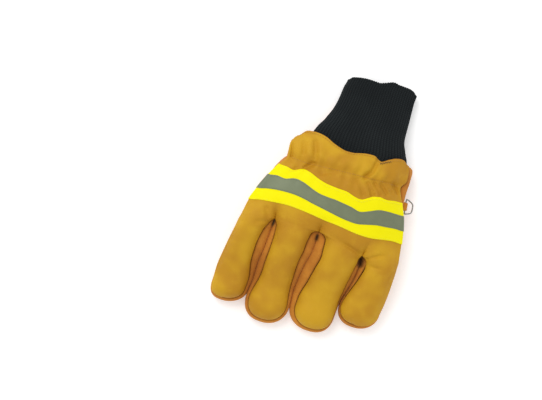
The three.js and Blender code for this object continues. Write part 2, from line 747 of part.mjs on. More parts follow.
// Cuff: a ribbed knit tube, tucked into the wrist and flattened where its end lies on the ground.
function cuffSeat(y) {
  return (LEATHER + GAP + RIB_DEPTH) * (1 - smooth(y, HAND_LENGTH, TUCK_START + 0.9 * CUFF_LENGTH));
}

function cuffSection(at) {
  const half = CUFF_WIDTH * tableValue(CUFF_SECTIONS, at, 'half');
  const depth = CUFF_DEPTH * tableValue(CUFF_SECTIONS, at, 'depth');
  return { x: GLOVE_WIDTH * tableValue(CUFF_SECTIONS, at, 'centre'), half, depth };
}

const CUFF_POWER = 2.6;

function cuffRing(at, inset, ribbed) {
  const { x, half, depth } = cuffSection(at);
  const steps = 2 * RIB_COUNT;
  return Array.from({ length: steps }, (_, i) => {
    const turn = 2 * Math.PI * i / steps;
    const soft = (v) => Math.sign(v) * Math.pow(Math.abs(v), 2 / CUFF_POWER);
    const off = ribbed && i % 2 === 0 ? RIB_DEPTH : 0;
    const px = x + (half - inset + off) * soft(Math.cos(turn));
    const slant = 0.03 * (px - x) + CUFF_WAVE * Math.sin(2.6 * (px - x) / half);
    const y = TUCK_START + at * CUFF_LENGTH + slant * Math.max(0, at - 0.5) * 2;
    const z = depth / 2 + (depth / 2 - inset + off) * soft(Math.sin(turn));
    return new THREE.Vector3(px, y, Math.max(z, inset > 0 ? inset : REST_FLAT) - REST_FLAT + lift(px, y) + cuffSeat(y));
  });
}

function knitCuff() {
  const outer = CUFF_SECTIONS.map((row) => cuffRing(row.at, 0, true));
  const inner = CUFF_SECTIONS.map((row) => cuffRing(row.at, KNIT, false)).reverse();
  return closedLoop([...outer, ...inner]);
}

// Pulse patch: suede under the knit at the inside of the wrist, from the palm's edge.
const PATCH_COLUMNS = [4, 5, 6, 7, 8, 9, 10, 11, 12];
const PATCH_ROWS = 6;

function pulsePatch() {
  const edge = palmGrid[palmGrid.length - 1];
  const front = PATCH_COLUMNS.map((j) => edge[j + 1].point);
  const rows = [];
  for (let i = 0; i <= PATCH_ROWS; i += 1) {
    const t = i / PATCH_ROWS;
    rows.push(front.map((p, j) => {
      const u = 2 * j / (front.length - 1) - 1;
      const half = 0.5 * (front[front.length - 1].x - front[0].x);
      const centre = front[0].x + half;
      const narrow = lerp(1, 0.52, t);
      const x = lerp(p.x, centre + half * narrow * u, smooth(t, 0, 0.5));
      const top = 1.05 * HAND_LENGTH + PATCH_LENGTH * (1 - 0.22 * u * u);
      const y = lerp(p.y + GAP, top, t);
      const at = (y - TUCK_START) / CUFF_LENGTH;
      const section = cuffSection(at);
      const away = Math.min(0.96, Math.abs(x - section.x) / (section.half + RIB_DEPTH));
      const curve = 1 - Math.pow(1 - Math.pow(away, CUFF_POWER), 1 / CUFF_POWER);
      const side = (section.depth / 2 + RIB_DEPTH) * curve - RIB_DEPTH - REST_FLAT;
      const z = Math.max(0, side) + cuffSeat(y) + lift(x, y) - GAP - PATCH_SAG * away * away;
      return knot(x, y, z, new THREE.Vector3(0, 0, 1));
    }));
  }
  return thicken(sheetMesh([rows.reverse()]), PATCH_THICKNESS, 0);
}

// Where the palm's outer side lies between the lines of the hand.
function palmSide(y) {
  const ends = HAND_LINES.map((line) => {
    const row = handBack[lineRow(line.name)];
    return new THREE.Vector2(row.outline, row[HAND_COLUMNS].point.y);
  });
  const after = ends.findIndex((end) => end.y > y);
  const before = ends[after - 1];
  return new THREE.Vector2(lerp(before.x, ends[after].x, (y - before.y) / (ends[after].y - before.y)), y);
}

// Hanging ring: a bent wire triangle with a straight bar, which lies in a suede loop at the outer side,
// beside the tape's top edge.
function ringPlace() {
  const y = handBack[lineRow('tapeTop')][HAND_COLUMNS].point.y;
  const low = palmSide(y - TAB_WIDTH / 2);
  const high = palmSide(y + TAB_WIDTH / 2);
  const middle = low.clone().lerp(high, 0.5);
  const turn = Math.atan2(high.x - low.x, high.y - low.y);
  return { middle, turn, z: BELLY_HEIGHT + lift(middle.x, middle.y) };
}

// The corners of the bent wire, as shares of its reach from the bar and of half its height.
const RING_CORNERS = [
  { out: 0.00, along: -0.82 },
  { out: 0.00, along: 0.82 },
  { out: 0.15, along: 1.00 },
  { out: 0.75, along: 0.65 },
  { out: 1.00, along: 0.32 },
  { out: 1.00, along: -0.42 },
  { out: 0.80, along: -0.82 },
  { out: 0.15, along: -1.00 },
];

const LOOP_HOLE = RING_WIRE / 2 + GAP;
const LOOP_OUTER = LOOP_HOLE + TAB_LEATHER;

function tabGeometry() {
  const outline = new THREE.Shape();
  const eyeX = LOOP_OUTER;
  outline.moveTo(0, -LOOP_OUTER);
  outline.lineTo(eyeX, -LOOP_OUTER);
  outline.absarc(eyeX, 0, LOOP_OUTER, -Math.PI / 2, Math.PI / 2, false);
  outline.lineTo(0, LOOP_OUTER);
  outline.closePath();
  const eye = new THREE.Path();
  eye.absarc(eyeX, 0, LOOP_HOLE, 0, 2 * Math.PI, true);
  outline.holes.push(eye);
  const geometry = new THREE.ExtrudeGeometry(outline, { depth: TAB_WIDTH, bevelEnabled: false, curveSegments: 6 });
  geometry.translate(0, 0, -TAB_WIDTH / 2);
  return geometry.rotateX(-Math.PI / 2);
}

function ringGeometry() {
  const half = RING_HEIGHT / 2;
  const corners = RING_CORNERS.map((corner) => ({
    x: LOOP_OUTER + corner.out * RING_REACH,
    y: corner.along * half,
  }));
  const sides = 6;
  const rings = corners.map((corner, i) => {
    const before = corners[(i + corners.length - 1) % corners.length];
    const after = corners[(i + 1) % corners.length];
    const along = new THREE.Vector2(after.x - before.x, after.y - before.y).normalize();
    return Array.from({ length: sides }, (_, j) => {
      const turn = 2 * Math.PI * j / sides;
      const out = RING_WIRE / 2 * Math.cos(turn);
      return new THREE.Vector3(corner.x + along.y * out, corner.y - along.x * out, RING_WIRE / 2 * Math.sin(turn));
    });
  });
  return closedLoop(rings);
}

const group = new THREE.Group();

function addPiece(name, geometry, colour, roughness, metalness = 0) {
  const material = new THREE.MeshStandardMaterial({ color: COLOURS[colour], roughness, metalness });
  geometry.deleteAttribute('normal');
  const mesh = new THREE.Mesh(geometry, material);
  mesh.name = name;
  group.add(mesh);
  return mesh;
}

addPiece('back_panel', thicken(backSheet, 0, -LEATHER), 'leather', 0.55);
FINGERS.forEach((finger, k) => addPiece(finger.name, fingerFront(fingerPlans[k]), 'suede', 0.95));
addPiece('palm_panel', palmPanel(), 'suede', 0.95);
addPiece('thumb', thumb(), 'suede', 0.95);
addPiece('knit_cuff', knitCuff(), 'knit', 1);
addPiece('pulse_patch', pulsePatch(), 'suede', 0.95);
const bandBase = bandSheet('tapeBottom', 'tapeTop');
addPiece('reflective_tape', thicken(bandBase, GAP + TAPE, GAP), 'tape', 0.5);
const stripBase = bandSheet('stripBottom', 'stripTop');
addPiece('silver_strip', thicken(stripBase, 2 * GAP + TAPE + STRIP, 2 * GAP + TAPE), 'strip', 0.4);

const place = ringPlace();
const tab = addPiece('ring_tab', tabGeometry(), 'suede', 0.95);
const ring = addPiece('steel_ring', ringGeometry(), 'steel', 0.3, 1);
for (const piece of [tab, ring]) {
  piece.position.set(place.middle.x + 2 * GAP, place.middle.y, place.z);
  piece.rotation.z = -place.turn;
}

// The origin is under the middle of the glove, on the surface it lies on.
group.updateMatrixWorld(true);
const reach = new THREE.Box3().setFromObject(group);
const middle = reach.getCenter(new THREE.Vector3());
group.position.set(-middle.x, -middle.y, -reach.min.z);

export default group;
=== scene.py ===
# Looks of a structural firefighting glove for a left hand, lying palm down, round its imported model.
# Shapes are worked out in millimetres in a plan whose zero is on the knuckle line, with the fingers
# to -Y and the thumb side to -X, and are moved into the frame, in metres, when they become meshes.
import math

import bpy
import numpy as np
from mathutils import Matrix, Vector


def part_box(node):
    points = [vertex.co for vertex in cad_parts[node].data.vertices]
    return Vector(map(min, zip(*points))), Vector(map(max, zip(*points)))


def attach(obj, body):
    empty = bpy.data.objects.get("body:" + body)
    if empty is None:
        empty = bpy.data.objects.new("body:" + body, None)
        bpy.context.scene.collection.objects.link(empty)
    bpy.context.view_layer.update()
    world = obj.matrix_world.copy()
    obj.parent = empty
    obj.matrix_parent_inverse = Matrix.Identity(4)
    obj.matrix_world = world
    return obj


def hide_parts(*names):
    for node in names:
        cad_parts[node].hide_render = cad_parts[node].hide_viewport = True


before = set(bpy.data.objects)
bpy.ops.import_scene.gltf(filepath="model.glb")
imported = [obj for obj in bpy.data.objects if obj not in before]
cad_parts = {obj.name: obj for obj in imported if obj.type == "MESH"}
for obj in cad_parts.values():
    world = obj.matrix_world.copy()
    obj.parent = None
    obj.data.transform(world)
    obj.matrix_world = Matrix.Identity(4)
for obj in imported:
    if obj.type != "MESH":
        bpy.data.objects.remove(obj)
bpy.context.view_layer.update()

MM = 0.001


def table(columns, rows):
    """Each row's values by the names of the columns."""
    return [dict(zip(columns.split(), row)) for row in rows]


# Driving dimensions
GLOVE_WIDTH = 188
HAND_LENGTH = 100
FINGER_REACH = 112
CUFF_LENGTH = 94
CUFF_WIDTH = 105
CUFF_DEPTH = 26
TUCK_START = 85
THUMB_LENGTH = 122
THUMB_WIDTH = 66
THUMB_DEPTH = 24
BELLY_HEIGHT = 12
SEAM_HEIGHT = 19
FINGER_CROWN = 13
HAND_CROWN = 16
LEATHER = 2
KNIT = 3
RIB_DEPTH = 0.7
TAPE = 0.8
STRIP = 0.35
PATCH_LENGTH = 40
PATCH_THICKNESS = 1.6
LIP = 10
NOSE_LIP = 4.3
REST_FLAT = 0.6
GAP = 0.3
RING_WIRE = 1.6
RING_REACH = 7.8
RING_HEIGHT = 16
TAB_WIDTH = 9
TAB_LEATHER = 1

# Tables hold shares: x of GLOVE_WIDTH, y of the named length, each counted from the knuckle line.
FINGER_LINES = {
    "at":         (0.00, 0.08, 0.16, 0.30, 0.45, 0.60, 0.75, 1.00),
    "thumb_side": (-0.427, -0.435, -0.441, -0.454, -0.466, -0.476, -0.478, -0.480),
    "slot_one":   (-0.238, -0.240, -0.241, -0.245, -0.252, -0.250, -0.258, -0.266),
    "slot_two":   (0.029, 0.031, 0.030, 0.014, 0.004, -0.001, 0.007, 0.013),
    "slot_three": (0.312, 0.314, 0.320, 0.315, 0.298, 0.281, 0.278, 0.282),
    "outer_side": (0.530, 0.534, 0.537, 0.540, 0.537, 0.528, 0.522, 0.518),
}
LINE_NAMES = ("thumb_side", "slot_one", "slot_two", "slot_three", "outer_side")
KNUCKLES = (0.00, 0.034, 0.045, -0.065, -0.03)
SLOT_POINTS = (1, 1.2, 0.5, 0.8, 1)
SLOT_OPENING = 0.07

# At each slot's end the suede runs on as a web before the crevice starts, and the third slot
# gapes: lengths of web and gape and the gape's half width, in shares of LIP.
SLOT_WEBS = (0, 0.25, 0.55, 0.10, 0)
SLOT_GAPES = (0, 0, 0, 0.34, 0)
GAPE_REACH = 1.3

# The painted shade of the dark pit at each slot's end: where it starts and ends along the slot and
# its half width, in shares of LIP.
SLOT_PITS = (
    {"start": 0.0, "end": 0.9, "half": 0.16},
    {"start": 0.25, "end": 1.1, "half": 0.20},
    {"start": 0.05, "end": 1.3, "half": 0.42},
)
PRESSED = 0.15

# Each finger's length, the lean of its nose and, at these places along it, how far its seams lie in
# from its sides, in shares of LIP.
FINGER_PLACES = (0.00, 0.06, 0.15, 0.30, 0.50, 0.70, 1.00)
FINGERS = (
    {"name": "index_finger_front", "length": 0.912, "lean": -0.025,
     "left":  (0.00, 0.00, 0.00, 0.00, 0.00, 0.05, 0.30),
     "right": (0.40, 0.50, 0.85, 1.04, 0.85, 0.50, 0.35)},
    {"name": "middle_finger_front", "length": 1.0, "lean": -0.008,
     "left":  (0.35, 0.45, 0.58, 0.66, 0.76, 0.46, 0.30),
     "right": (0.78, 0.85, 1.00, 0.88, 0.62, 0.42, 0.30)},
    {"name": "ring_finger_front", "length": 0.942, "lean": 0.010,
     "left":  (0.90, 1.00, 1.05, 1.25, 1.12, 0.72, 0.35),
     "right": (0.25, 0.35, 0.50, 0.57, 0.38, 0.18, 0.25)},
    {"name": "little_finger_front", "length": 0.770, "lean": -0.010,
     "left":  (0.50, 0.60, 0.65, 0.50, 0.28, 0.18, 0.30),
     "right": (0.05, 0.07, 0.10, 0.15, 0.18, 0.20, 0.30)},
)

# Lines across the back of the hand: its two ends, the palm's outline at the outer side, y at even
# places from the thumb side, and how many fine rows lead to it from the line before.
HAND_LINES = table("name rows left right outline y", (
    ("tape_bottom", 24, -0.417, 0.515, 0.515,
     (0.145, 0.174, 0.191, 0.205, 0.212, 0.208, 0.200, 0.189, 0.179,
      0.172, 0.160, 0.148, 0.145, 0.153, 0.174, 0.190, 0.187)),
    ("strip_bottom", 14, -0.392, 0.498, 0.500,
     (0.284, 0.315, 0.334, 0.343, 0.344, 0.332, 0.312, 0.296, 0.279,
      0.263, 0.252, 0.251, 0.276, 0.303, 0.315, 0.328, 0.327)),
    ("strip_top", 14, -0.353, 0.472, 0.477,
     (0.461, 0.481, 0.476, 0.510, 0.500, 0.467, 0.438, 0.428, 0.425,
      0.415, 0.403, 0.384, 0.420, 0.465, 0.479, 0.482, 0.484)),
    ("tape_top", 12, -0.313, 0.440, 0.457,
     (0.605, 0.606, 0.592, 0.632, 0.622, 0.590, 0.566, 0.555, 0.550,
      0.547, 0.522, 0.516, 0.571, 0.600, 0.597, 0.614, 0.618)),
    ("elastic", 20, -0.284, 0.409, 0.454,
     (0.720, 0.706, 0.712, 0.723, 0.736, 0.748, 0.758, 0.768, 0.775)),
    ("puff", 16, -0.288, 0.430, 0.455,
     (0.860, 0.870, 0.880, 0.870, 0.860, 0.870, 0.870, 0.880, 0.870)),
    ("wrist", 20, -0.266, 0.420, 0.440,
     (0.960, 1.042, 1.060, 1.058, 1.040, 1.005, 0.979, 0.963, 0.967,
      0.990, 1.006, 1.006, 0.972, 1.017, 1.056, 1.064, 1.020)),
))
PALM_WRIST = (0.930, 0.930, 0.925, 0.850, 0.935, 0.960, 0.990, 1.010, 1.020)

# Broad puffs and dents of the back, as gaussian bumps: middle, direction in degrees from +X, reach
# along and across it, height as a share of HAND_CROWN.
FOLDS = table("x y turn along across height", (
    (-0.14, 0.96, 0, 0.22, 0.13, 0.16),
    (0.12, 0.92, 0, 0.16, 0.10, 0.10),
    (0.34, 0.96, 0, 0.14, 0.12, 0.14),
    (-0.24, 0.05, 95, 0.12, 0.05, -0.10),
    (-0.17, 0.90, 100, 0.10, 0.05, 0.07),
    (-0.105, 0.88, 100, 0.12, 0.05, 0.07),
    (0.02, 0.90, 90, 0.10, 0.09, 0.06),
))

# Creases of the back, as lines from one place to another: depth as a share of HAND_CROWN, width of
# HAND_LENGTH.
CREASES = table("x y depth width", (
    ((-0.276, -0.262), (0.860, 0.734), 0.13, 0.020),
    ((-0.213, -0.195), (0.910, 0.810), 0.10, 0.034),
    ((-0.152, -0.120), (0.955, 0.790), 0.13, 0.036),
    ((-0.211, -0.170), (0.615, 0.650), 0.09, 0.034),
    ((-0.170, -0.120), (0.650, 0.735), 0.14, 0.032),
    ((-0.060, -0.020), (0.650, 0.692), 0.07, 0.030),
    ((0.020, 0.060), (0.860, 0.930), 0.05, 0.040),
    ((0.232, 0.224), (1.000, 0.923), 0.17, 0.028),
    ((0.224, 0.215), (0.923, 0.838), 0.19, 0.030),
    ((0.215, 0.184), (0.838, 0.765), 0.16, 0.032),
    ((0.150, 0.207), (0.715, 0.560), 0.08, 0.030),
    ((0.212, 0.258), (0.712, 0.600), 0.14, 0.030),
    ((0.252, 0.300), (0.732, 0.630), 0.11, 0.027),
    ((0.284, 0.338), (0.740, 0.655), 0.13, 0.028),
    ((0.322, 0.362), (0.755, 0.690), 0.07, 0.026),
    ((0.358, 0.398), (0.780, 0.715), 0.12, 0.027),
    ((0.160, 0.250), (0.742, 0.758), 0.06, 0.018),
    ((0.250, 0.375), (0.758, 0.786), 0.06, 0.018),
    ((-0.302, -0.280), (0.110, 0.030), 0.09, 0.034),
    ((-0.330, -0.285), (-0.060, -0.025), 0.06, 0.030),
    ((0.110, 0.200), (0.035, -0.004), 0.05, 0.036),
    ((0.200, 0.290), (-0.004, -0.050), 0.11, 0.030),
    ((0.345, 0.419), (-0.080, 0.002), 0.09, 0.024),
    ((0.357, 0.424), (-0.153, -0.146), 0.07, 0.026),
))
CREASE_STRENGTH = 1.45
SEAM_ROLL = 0.35
SIDE_ROLL = 0.75
ROLL_PLACE = 3.4
ROLL_REACH = 2.4
ROLL_FADE = (-30, -12)
RELIEF_FADE = (0.5, 9)
SLOT_HOLD = (1, 6)
VALLEY_DEPTH = 0.26
VALLEY_REACH = 0.08
GATHER_HEIGHT = 0.05
GATHER_REACH = 0.17
GATHER_COUNT = 11

CUFF_SECTIONS = {
    "at":     (0.00, 0.20, 0.33, 0.44, 0.60, 0.74, 0.90, 1.00),
    "centre": (0.098, 0.110, 0.106, 0.108, 0.119, 0.124, 0.125, 0.131),
    "half":   (0.470, 0.518, 0.478, 0.432, 0.402, 0.388, 0.377, 0.370),
    "depth":  (0.94, 1.00, 1.00, 1.00, 0.98, 0.97, 0.96, 0.95),
}
# How far the cuff's open end stands beyond CUFF_LENGTH, in shares of it, from side to side.
CUFF_END = {
    "side": (-1.00, -0.92, -0.43, -0.14, 0.01, 0.31, 0.44, 0.75, 0.89, 1.00),
    "out":  (-0.040, -0.008, 0.020, 0.017, 0.036, 0.076, 0.066, 0.062, 0.048, 0.020),
}
THUMB_SECTIONS = {
    "at":     (0.00, 0.12, 0.35, 0.60, 0.80, 1.00),
    "centre": (0.42, 0.41, 0.35, 0.27, 0.22, 0.21),
    "half":   (0.36, 0.50, 0.46, 0.36, 0.31, 0.28),
}
THUMB_ROOT = -0.345
THUMB_HOLE = {"x": -0.215, "y": 0.40, "half_x": 0.090, "half_y": 0.215}
LIFT_TIPS = (-0.70, -0.02)
LIFT_WRIST = (0.76, 1.04)
WRIST_DROP = 0.40
LIFT_FALL = (0.96, 0.93)
LIFT_ACROSS = {"at": (-0.50, 0.00, 0.28, 0.53), "share": (1.00, 1.00, 0.84, 0.40)}

# The corners of the ring's bent wire, as shares of its reach from the bar and of half its height.
RING_CORNERS = {
    "out":   (0.00, 0.00, 0.15, 0.75, 1.00, 1.00, 0.80, 0.15),
    "along": (-0.82, 0.82, 1.00, 0.65, 0.32, -0.42, -0.82, -1.00),
}

# The plan's zero in the frame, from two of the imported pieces.
ORIGIN = np.array([
    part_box("thumb")[0].x / MM - THUMB_ROOT * GLOVE_WIDTH,
    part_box("middle_finger_front")[0].y / MM + FINGER_REACH,
    0.0,
])


# Numbers and curves

CROWN_POWER = 2.4
SMALLEST = 1e-12
FAR = 1e3


def lerp(a, b, t):
    return a + (b - a) * t


def smooth(value, low, high):
    t = np.clip((value - low) / (high - low), 0, 1)
    return t * t * (3 - 2 * t)


def bell(distance):
    return np.exp(-distance * distance)


def curve(places, values, at):
    """A smooth value between the places of a table, which never overshoots them."""
    places = np.asarray(places, float)
    values = np.asarray(values, float)
    at = np.clip(np.asarray(at, float), places[0], places[-1])
    spans = np.diff(places).reshape((-1,) + (1,) * (values.ndim - 1))
    steps = np.diff(values, axis=0) / spans
    slopes = np.zeros_like(values)
    product = steps[:-1] * steps[1:]
    total = np.where(product > 0, steps[:-1] + steps[1:], 1)
    slopes[1:-1] = np.where(product > 0, 2 * product / total, 0)
    i = np.clip(np.searchsorted(places, at, side="right") - 1, 0, len(places) - 2)
    span = places[i + 1] - places[i]
    t = (at - places[i]) / span
    extra = (1,) * (values.ndim - 1)
    t = t.reshape(at.shape + extra)
    span = span.reshape(at.shape + extra)
    t2 = t * t
    t3 = t2 * t
    low = values[i] * (2 * t3 - 3 * t2 + 1) + slopes[i] * span * (t3 - 2 * t2 + t)
    high = values[i + 1] * (3 * t2 - 2 * t3) + slopes[i + 1] * span * (t3 - t2)
    return low + high


def section(sections, name, at):
    """A column of a table, read at places between its rows."""
    return curve(sections["at"], sections[name], at)


def through(points, at):
    """A round curve through evenly numbered points, for wavy edges."""
    points = np.asarray(points, float)
    at = np.clip(np.asarray(at, float), 0, len(points) - 1)
    i = np.clip(np.floor(at).astype(int), 0, len(points) - 2)
    t = at - i
    a = points[np.maximum(i - 1, 0)]
    b = points[i]
    c = points[i + 1]
    d = points[np.minimum(i + 2, len(points) - 1)]
    return b + 0.5 * t * (c - a + t * (2 * a - 5 * b + 4 * c - d + t * (3 * (b - c) + d - a)))


def dome(distance):
    return np.sqrt(np.maximum(0, 1 - np.power(np.minimum(np.abs(distance), 1), CROWN_POWER)))


def lift(x, y):
    """The height of the palm's underside above the ground, where the folded thumb lies under it."""
    across = section(LIFT_ACROSS, "share", x / GLOVE_WIDTH)
    tips = smooth(y, LIFT_TIPS[0] * FINGER_REACH, LIFT_TIPS[1] * FINGER_REACH)
    cuff_end = TUCK_START + CUFF_LENGTH
    wrist = 1 - WRIST_DROP * smooth(y, LIFT_WRIST[0] * HAND_LENGTH, LIFT_WRIST[1] * HAND_LENGTH)
    fall = 1 - smooth(y, LIFT_FALL[0] * HAND_LENGTH, LIFT_FALL[1] * cuff_end)
    return THUMB_DEPTH * across * tips * wrist * fall


def line_x(name, y):
    return GLOVE_WIDTH * section(FINGER_LINES, name, -y / FINGER_REACH)


def stack(x, y, z):
    x, y, z = np.broadcast_arrays(x, y, z)
    return np.stack([x, y, z], axis=-1).astype(float)


def lengths_along(points):
    """Distances along the last but one axis of a grid of points, from its first point."""
    steps = np.linalg.norm(np.diff(points, axis=-2), axis=-1)
    start = np.zeros(steps.shape[:-1] + (1,))
    return np.concatenate([start, np.cumsum(steps, axis=-1)], axis=-1)


def lengths_down(points):
    """Distances along the first axis of a grid of points."""
    return lengths_along(points.swapaxes(0, 1)).swapaxes(0, 1)


def to_sides(points):
    """Distances along each row of a grid of points, from the nearer of its ends."""
    ends = lengths_along(points)
    return np.minimum(ends, ends[:, -1:] - ends)


def unit(vectors):
    return vectors / np.maximum(np.linalg.norm(vectors, axis=-1, keepdims=True), SMALLEST)


def boxy_turn(turn, power):
    """Cosine and sine of a turn, drawn out towards a rounded box."""
    return [np.sign(part) * np.abs(part) ** power for part in (np.cos(turn), np.sin(turn))]


# Sheets: grids of points joined where they meet, with marks such as the distance to a seam

def join(patches):
    points = np.concatenate([patch["points"].reshape(-1, 3) for patch in patches])
    keys = np.round(points * 400).astype(np.int64)
    _, first, place = np.unique(keys, axis=0, return_index=True, return_inverse=True)
    place = place.reshape(-1)
    faces = []
    start = 0
    for patch in patches:
        rows, columns = patch["points"].shape[:2]
        index = place[start:start + rows * columns].reshape(rows, columns)
        corners = (index[:-1, :-1], index[:-1, 1:], index[1:, 1:], index[1:, :-1])
        found = np.stack(corners, axis=-1).reshape(-1, 4)
        if "kept" in patch:
            found = found[patch["kept"].reshape(-1)]
        faces.append(found)
        start += rows * columns
    faces = np.concatenate(faces)
    faces = faces[(faces[:, 0] != faces[:, 2]) & (faces[:, 1] != faces[:, 3])]
    names = [name for name in patches[0] if name not in ("points", "kept")]
    marks = {name: np.concatenate([patch[name].reshape(-1) for patch in patches])[first] for name in names}
    return {"points": points[first], "faces": faces, "marks": marks}


def normals_of(sheet):
    p = sheet["points"]
    f = sheet["faces"]
    across = np.cross(p[f[:, 2]] - p[f[:, 0]], p[f[:, 3]] - p[f[:, 1]])
    total = np.zeros_like(p)
    for corner in range(4):
        np.add.at(total, f[:, corner], across)
    return unit(total)


def rim_of(faces, count):
    """The directed edges that only one face has."""
    starts = faces.reshape(-1)
    ends = np.roll(faces, -1, axis=1).reshape(-1)
    real = starts != ends
    starts = starts[real]
    ends = ends[real]
    alone = ~np.isin(starts * count + ends, ends * count + starts)
    return starts[alone], ends[alone]


def shell(sheet, outer, inner, bulge=0.1, steps=4):
    """A closed wall round a sheet, between two distances along its normals, with a rounded rim."""
    points = sheet["points"]
    normals = normals_of(sheet)
    count = len(points)
    top = points + normals * np.reshape(outer, (-1, 1))
    bottom = points + normals * np.reshape(inner, (-1, 1))
    starts, ends = rim_of(sheet["faces"], count)
    ring = np.unique(np.concatenate([starts, ends]))
    number = np.zeros(count, int)
    number[ring] = np.arange(len(ring))
    away = np.zeros((count, 3))
    side = np.cross(points[ends] - points[starts], normals[starts] + normals[ends])
    np.add.at(away, starts, side)
    np.add.at(away, ends, side)
    away = unit(away[ring])
    reach = np.broadcast_to(bulge, (count,))[ring][:, None]
    layers = [ring]
    rims = []
    total = 2 * count
    for step in range(1, steps):
        turn = math.pi * step / steps
        middle = (top[ring] + bottom[ring]) / 2
        half = (top[ring] - bottom[ring]) / 2
        rims.append(middle + half * math.cos(turn) + away * reach * math.sin(turn))
        layers.append(total + np.arange(len(ring)))
        total += len(ring)
    layers.append(ring + count)
    faces = [sheet["faces"], sheet["faces"][:, ::-1] + count]
    for upper, lower in zip(layers[:-1], layers[1:]):
        a = number[starts]
        b = number[ends]
        faces.append(np.stack([upper[b], upper[a], lower[a], lower[b]], axis=1))
    marks = {}
    for name, value in sheet["marks"].items():
        marks[name] = np.concatenate([value, value] + [value[ring]] * (steps - 1))
    sides = [np.zeros(count), np.ones(count), np.full(len(ring) * (steps - 1), 0.5)]
    marks["inside"] = np.concatenate(sides)
    return {"points": np.concatenate([top, bottom] + rims), "faces": np.concatenate(faces), "marks": marks}


def add_piece(name, made, finish, nodes=()):
    """A mesh of worked out points, in the frame, that rides on the part's one body."""
    mesh = bpy.data.meshes.new(name)
    corners = [list(dict.fromkeys(face)) for face in made["faces"].tolist()]
    mesh.from_pydata(((made["points"] + ORIGIN) * MM).tolist(), [], corners)
    mesh.polygons.foreach_set("use_smooth", np.ones(len(mesh.polygons), bool))
    for mark, values in made.get("marks", {}).items():
        layer = mesh.attributes.new(mark, "FLOAT", "POINT")
        layer.data.foreach_set("value", np.asarray(values, np.float32))
    mesh.materials.append(finish)
    mesh.update()
    piece = bpy.data.objects.new(name, mesh)
    bpy.context.scene.collection.objects.link(piece)
    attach(piece, "root")
    if nodes:
        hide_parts(*nodes)
    return piece


# Materials

def add_node(tree, kind, values=None, **settings):
    made = tree.nodes.new(kind)
    for key, value in settings.items():
        setattr(made, key, value)
    for key, value in (values or {}).items():
        if isinstance(value, bpy.types.NodeSocket):
            tree.links.new(value, made.inputs[key])
        else:
            made.inputs[key].default_value = value
    return made


def new_finish(name, constants):
    """A material whose shader has these constants on its own sockets."""
    material = bpy.data.materials.new(name)
    material.use_nodes = True
    tree = material.node_tree
    shader = tree.nodes["Principled BSDF"]
    for socket, value in constants.items():
        shader.inputs[socket].default_value = value
    place = add_node(tree, "ShaderNodeTexCoord").outputs["Object"]
    return material, tree, shader, place


def noise(tree, place, scale, detail=3.0, roughness=0.55, distortion=0.0):
    values = {"Vector": place, "Scale": scale, "Detail": detail, "Roughness": roughness,
              "Distortion": distortion}
    return add_node(tree, "ShaderNodeTexNoise", values).outputs[0]


def cells(tree, place, scale, feature="F1"):
    values = {"Vector": place, "Scale": scale}
    return add_node(tree, "ShaderNodeTexVoronoi", values, feature=feature).outputs["Distance"]


def ramp(tree, value, low, high, to_low=0.0, to_high=1.0):
    values = {"Value": value, "From Min": low, "From Max": high, "To Min": to_low, "To Max": to_high}
    return add_node(tree, "ShaderNodeMapRange", values, interpolation_type="SMOOTHSTEP").outputs[0]


def maths(tree, operation, a, b=0.0):
    return add_node(tree, "ShaderNodeMath", {0: a, 1: b}, operation=operation).outputs[0]


def mix(tree, factor, a, b):
    return add_node(tree, "ShaderNodeMix", {0: factor, 6: a, 7: b}, data_type="RGBA").outputs[2]


def mark(tree, name):
    return add_node(tree, "ShaderNodeAttribute", attribute_name=name).outputs["Fac"]


def bump(tree, height, distance, strength=1.0, before=None):
    values = {"Strength": strength, "Distance": distance, "Height": height}
    if before is not None:
        values["Normal"] = before
    return add_node(tree, "ShaderNodeBump", values).outputs[0]


def connect(tree, shader, colour=None, roughness=None, normal=None):
    for key, value in (("Base Color", colour), ("Roughness", roughness), ("Normal", normal)):
        if value is not None:
            tree.links.new(value, shader.inputs[key])


LEATHER_LIGHT = (0.610, 0.338, 0.016, 1)
LEATHER_DEEP = (0.500, 0.240, 0.014, 1)
LEATHER_WORN = (0.660, 0.390, 0.022, 1)
SEAM_BROWN = (0.235, 0.095, 0.012, 1)
SUEDE_LIGHT = (0.620, 0.250, 0.034, 1)
SUEDE_DEEP = (0.450, 0.158, 0.022, 1)
SUEDE_DARK = (0.250, 0.080, 0.012, 1)
# Near black for the painted shade in the pit at each slot's end.
PIT_PAINTED_SHADE = (0.030, 0.012, 0.007, 1)
KNIT_LIGHT = (0.0215, 0.0265, 0.0275, 1)
KNIT_DEEP = (0.0075, 0.0090, 0.0100, 1)
TAPE_YELLOW = (0.900, 0.820, 0.002, 1)
# The tape's darker yellow serves the soil patches and the painted shade between the woven threads.
TAPE_SOIL_AND_SHADE = (0.820, 0.720, 0.002, 1)
STRIP_GREY = (0.200, 0.228, 0.140, 1)
STRIP_SHADE = (0.182, 0.208, 0.128, 1)
STEEL_WORN = (0.20, 0.19, 0.17, 1)
STEEL_BRIGHT = (0.52, 0.53, 0.53, 1)


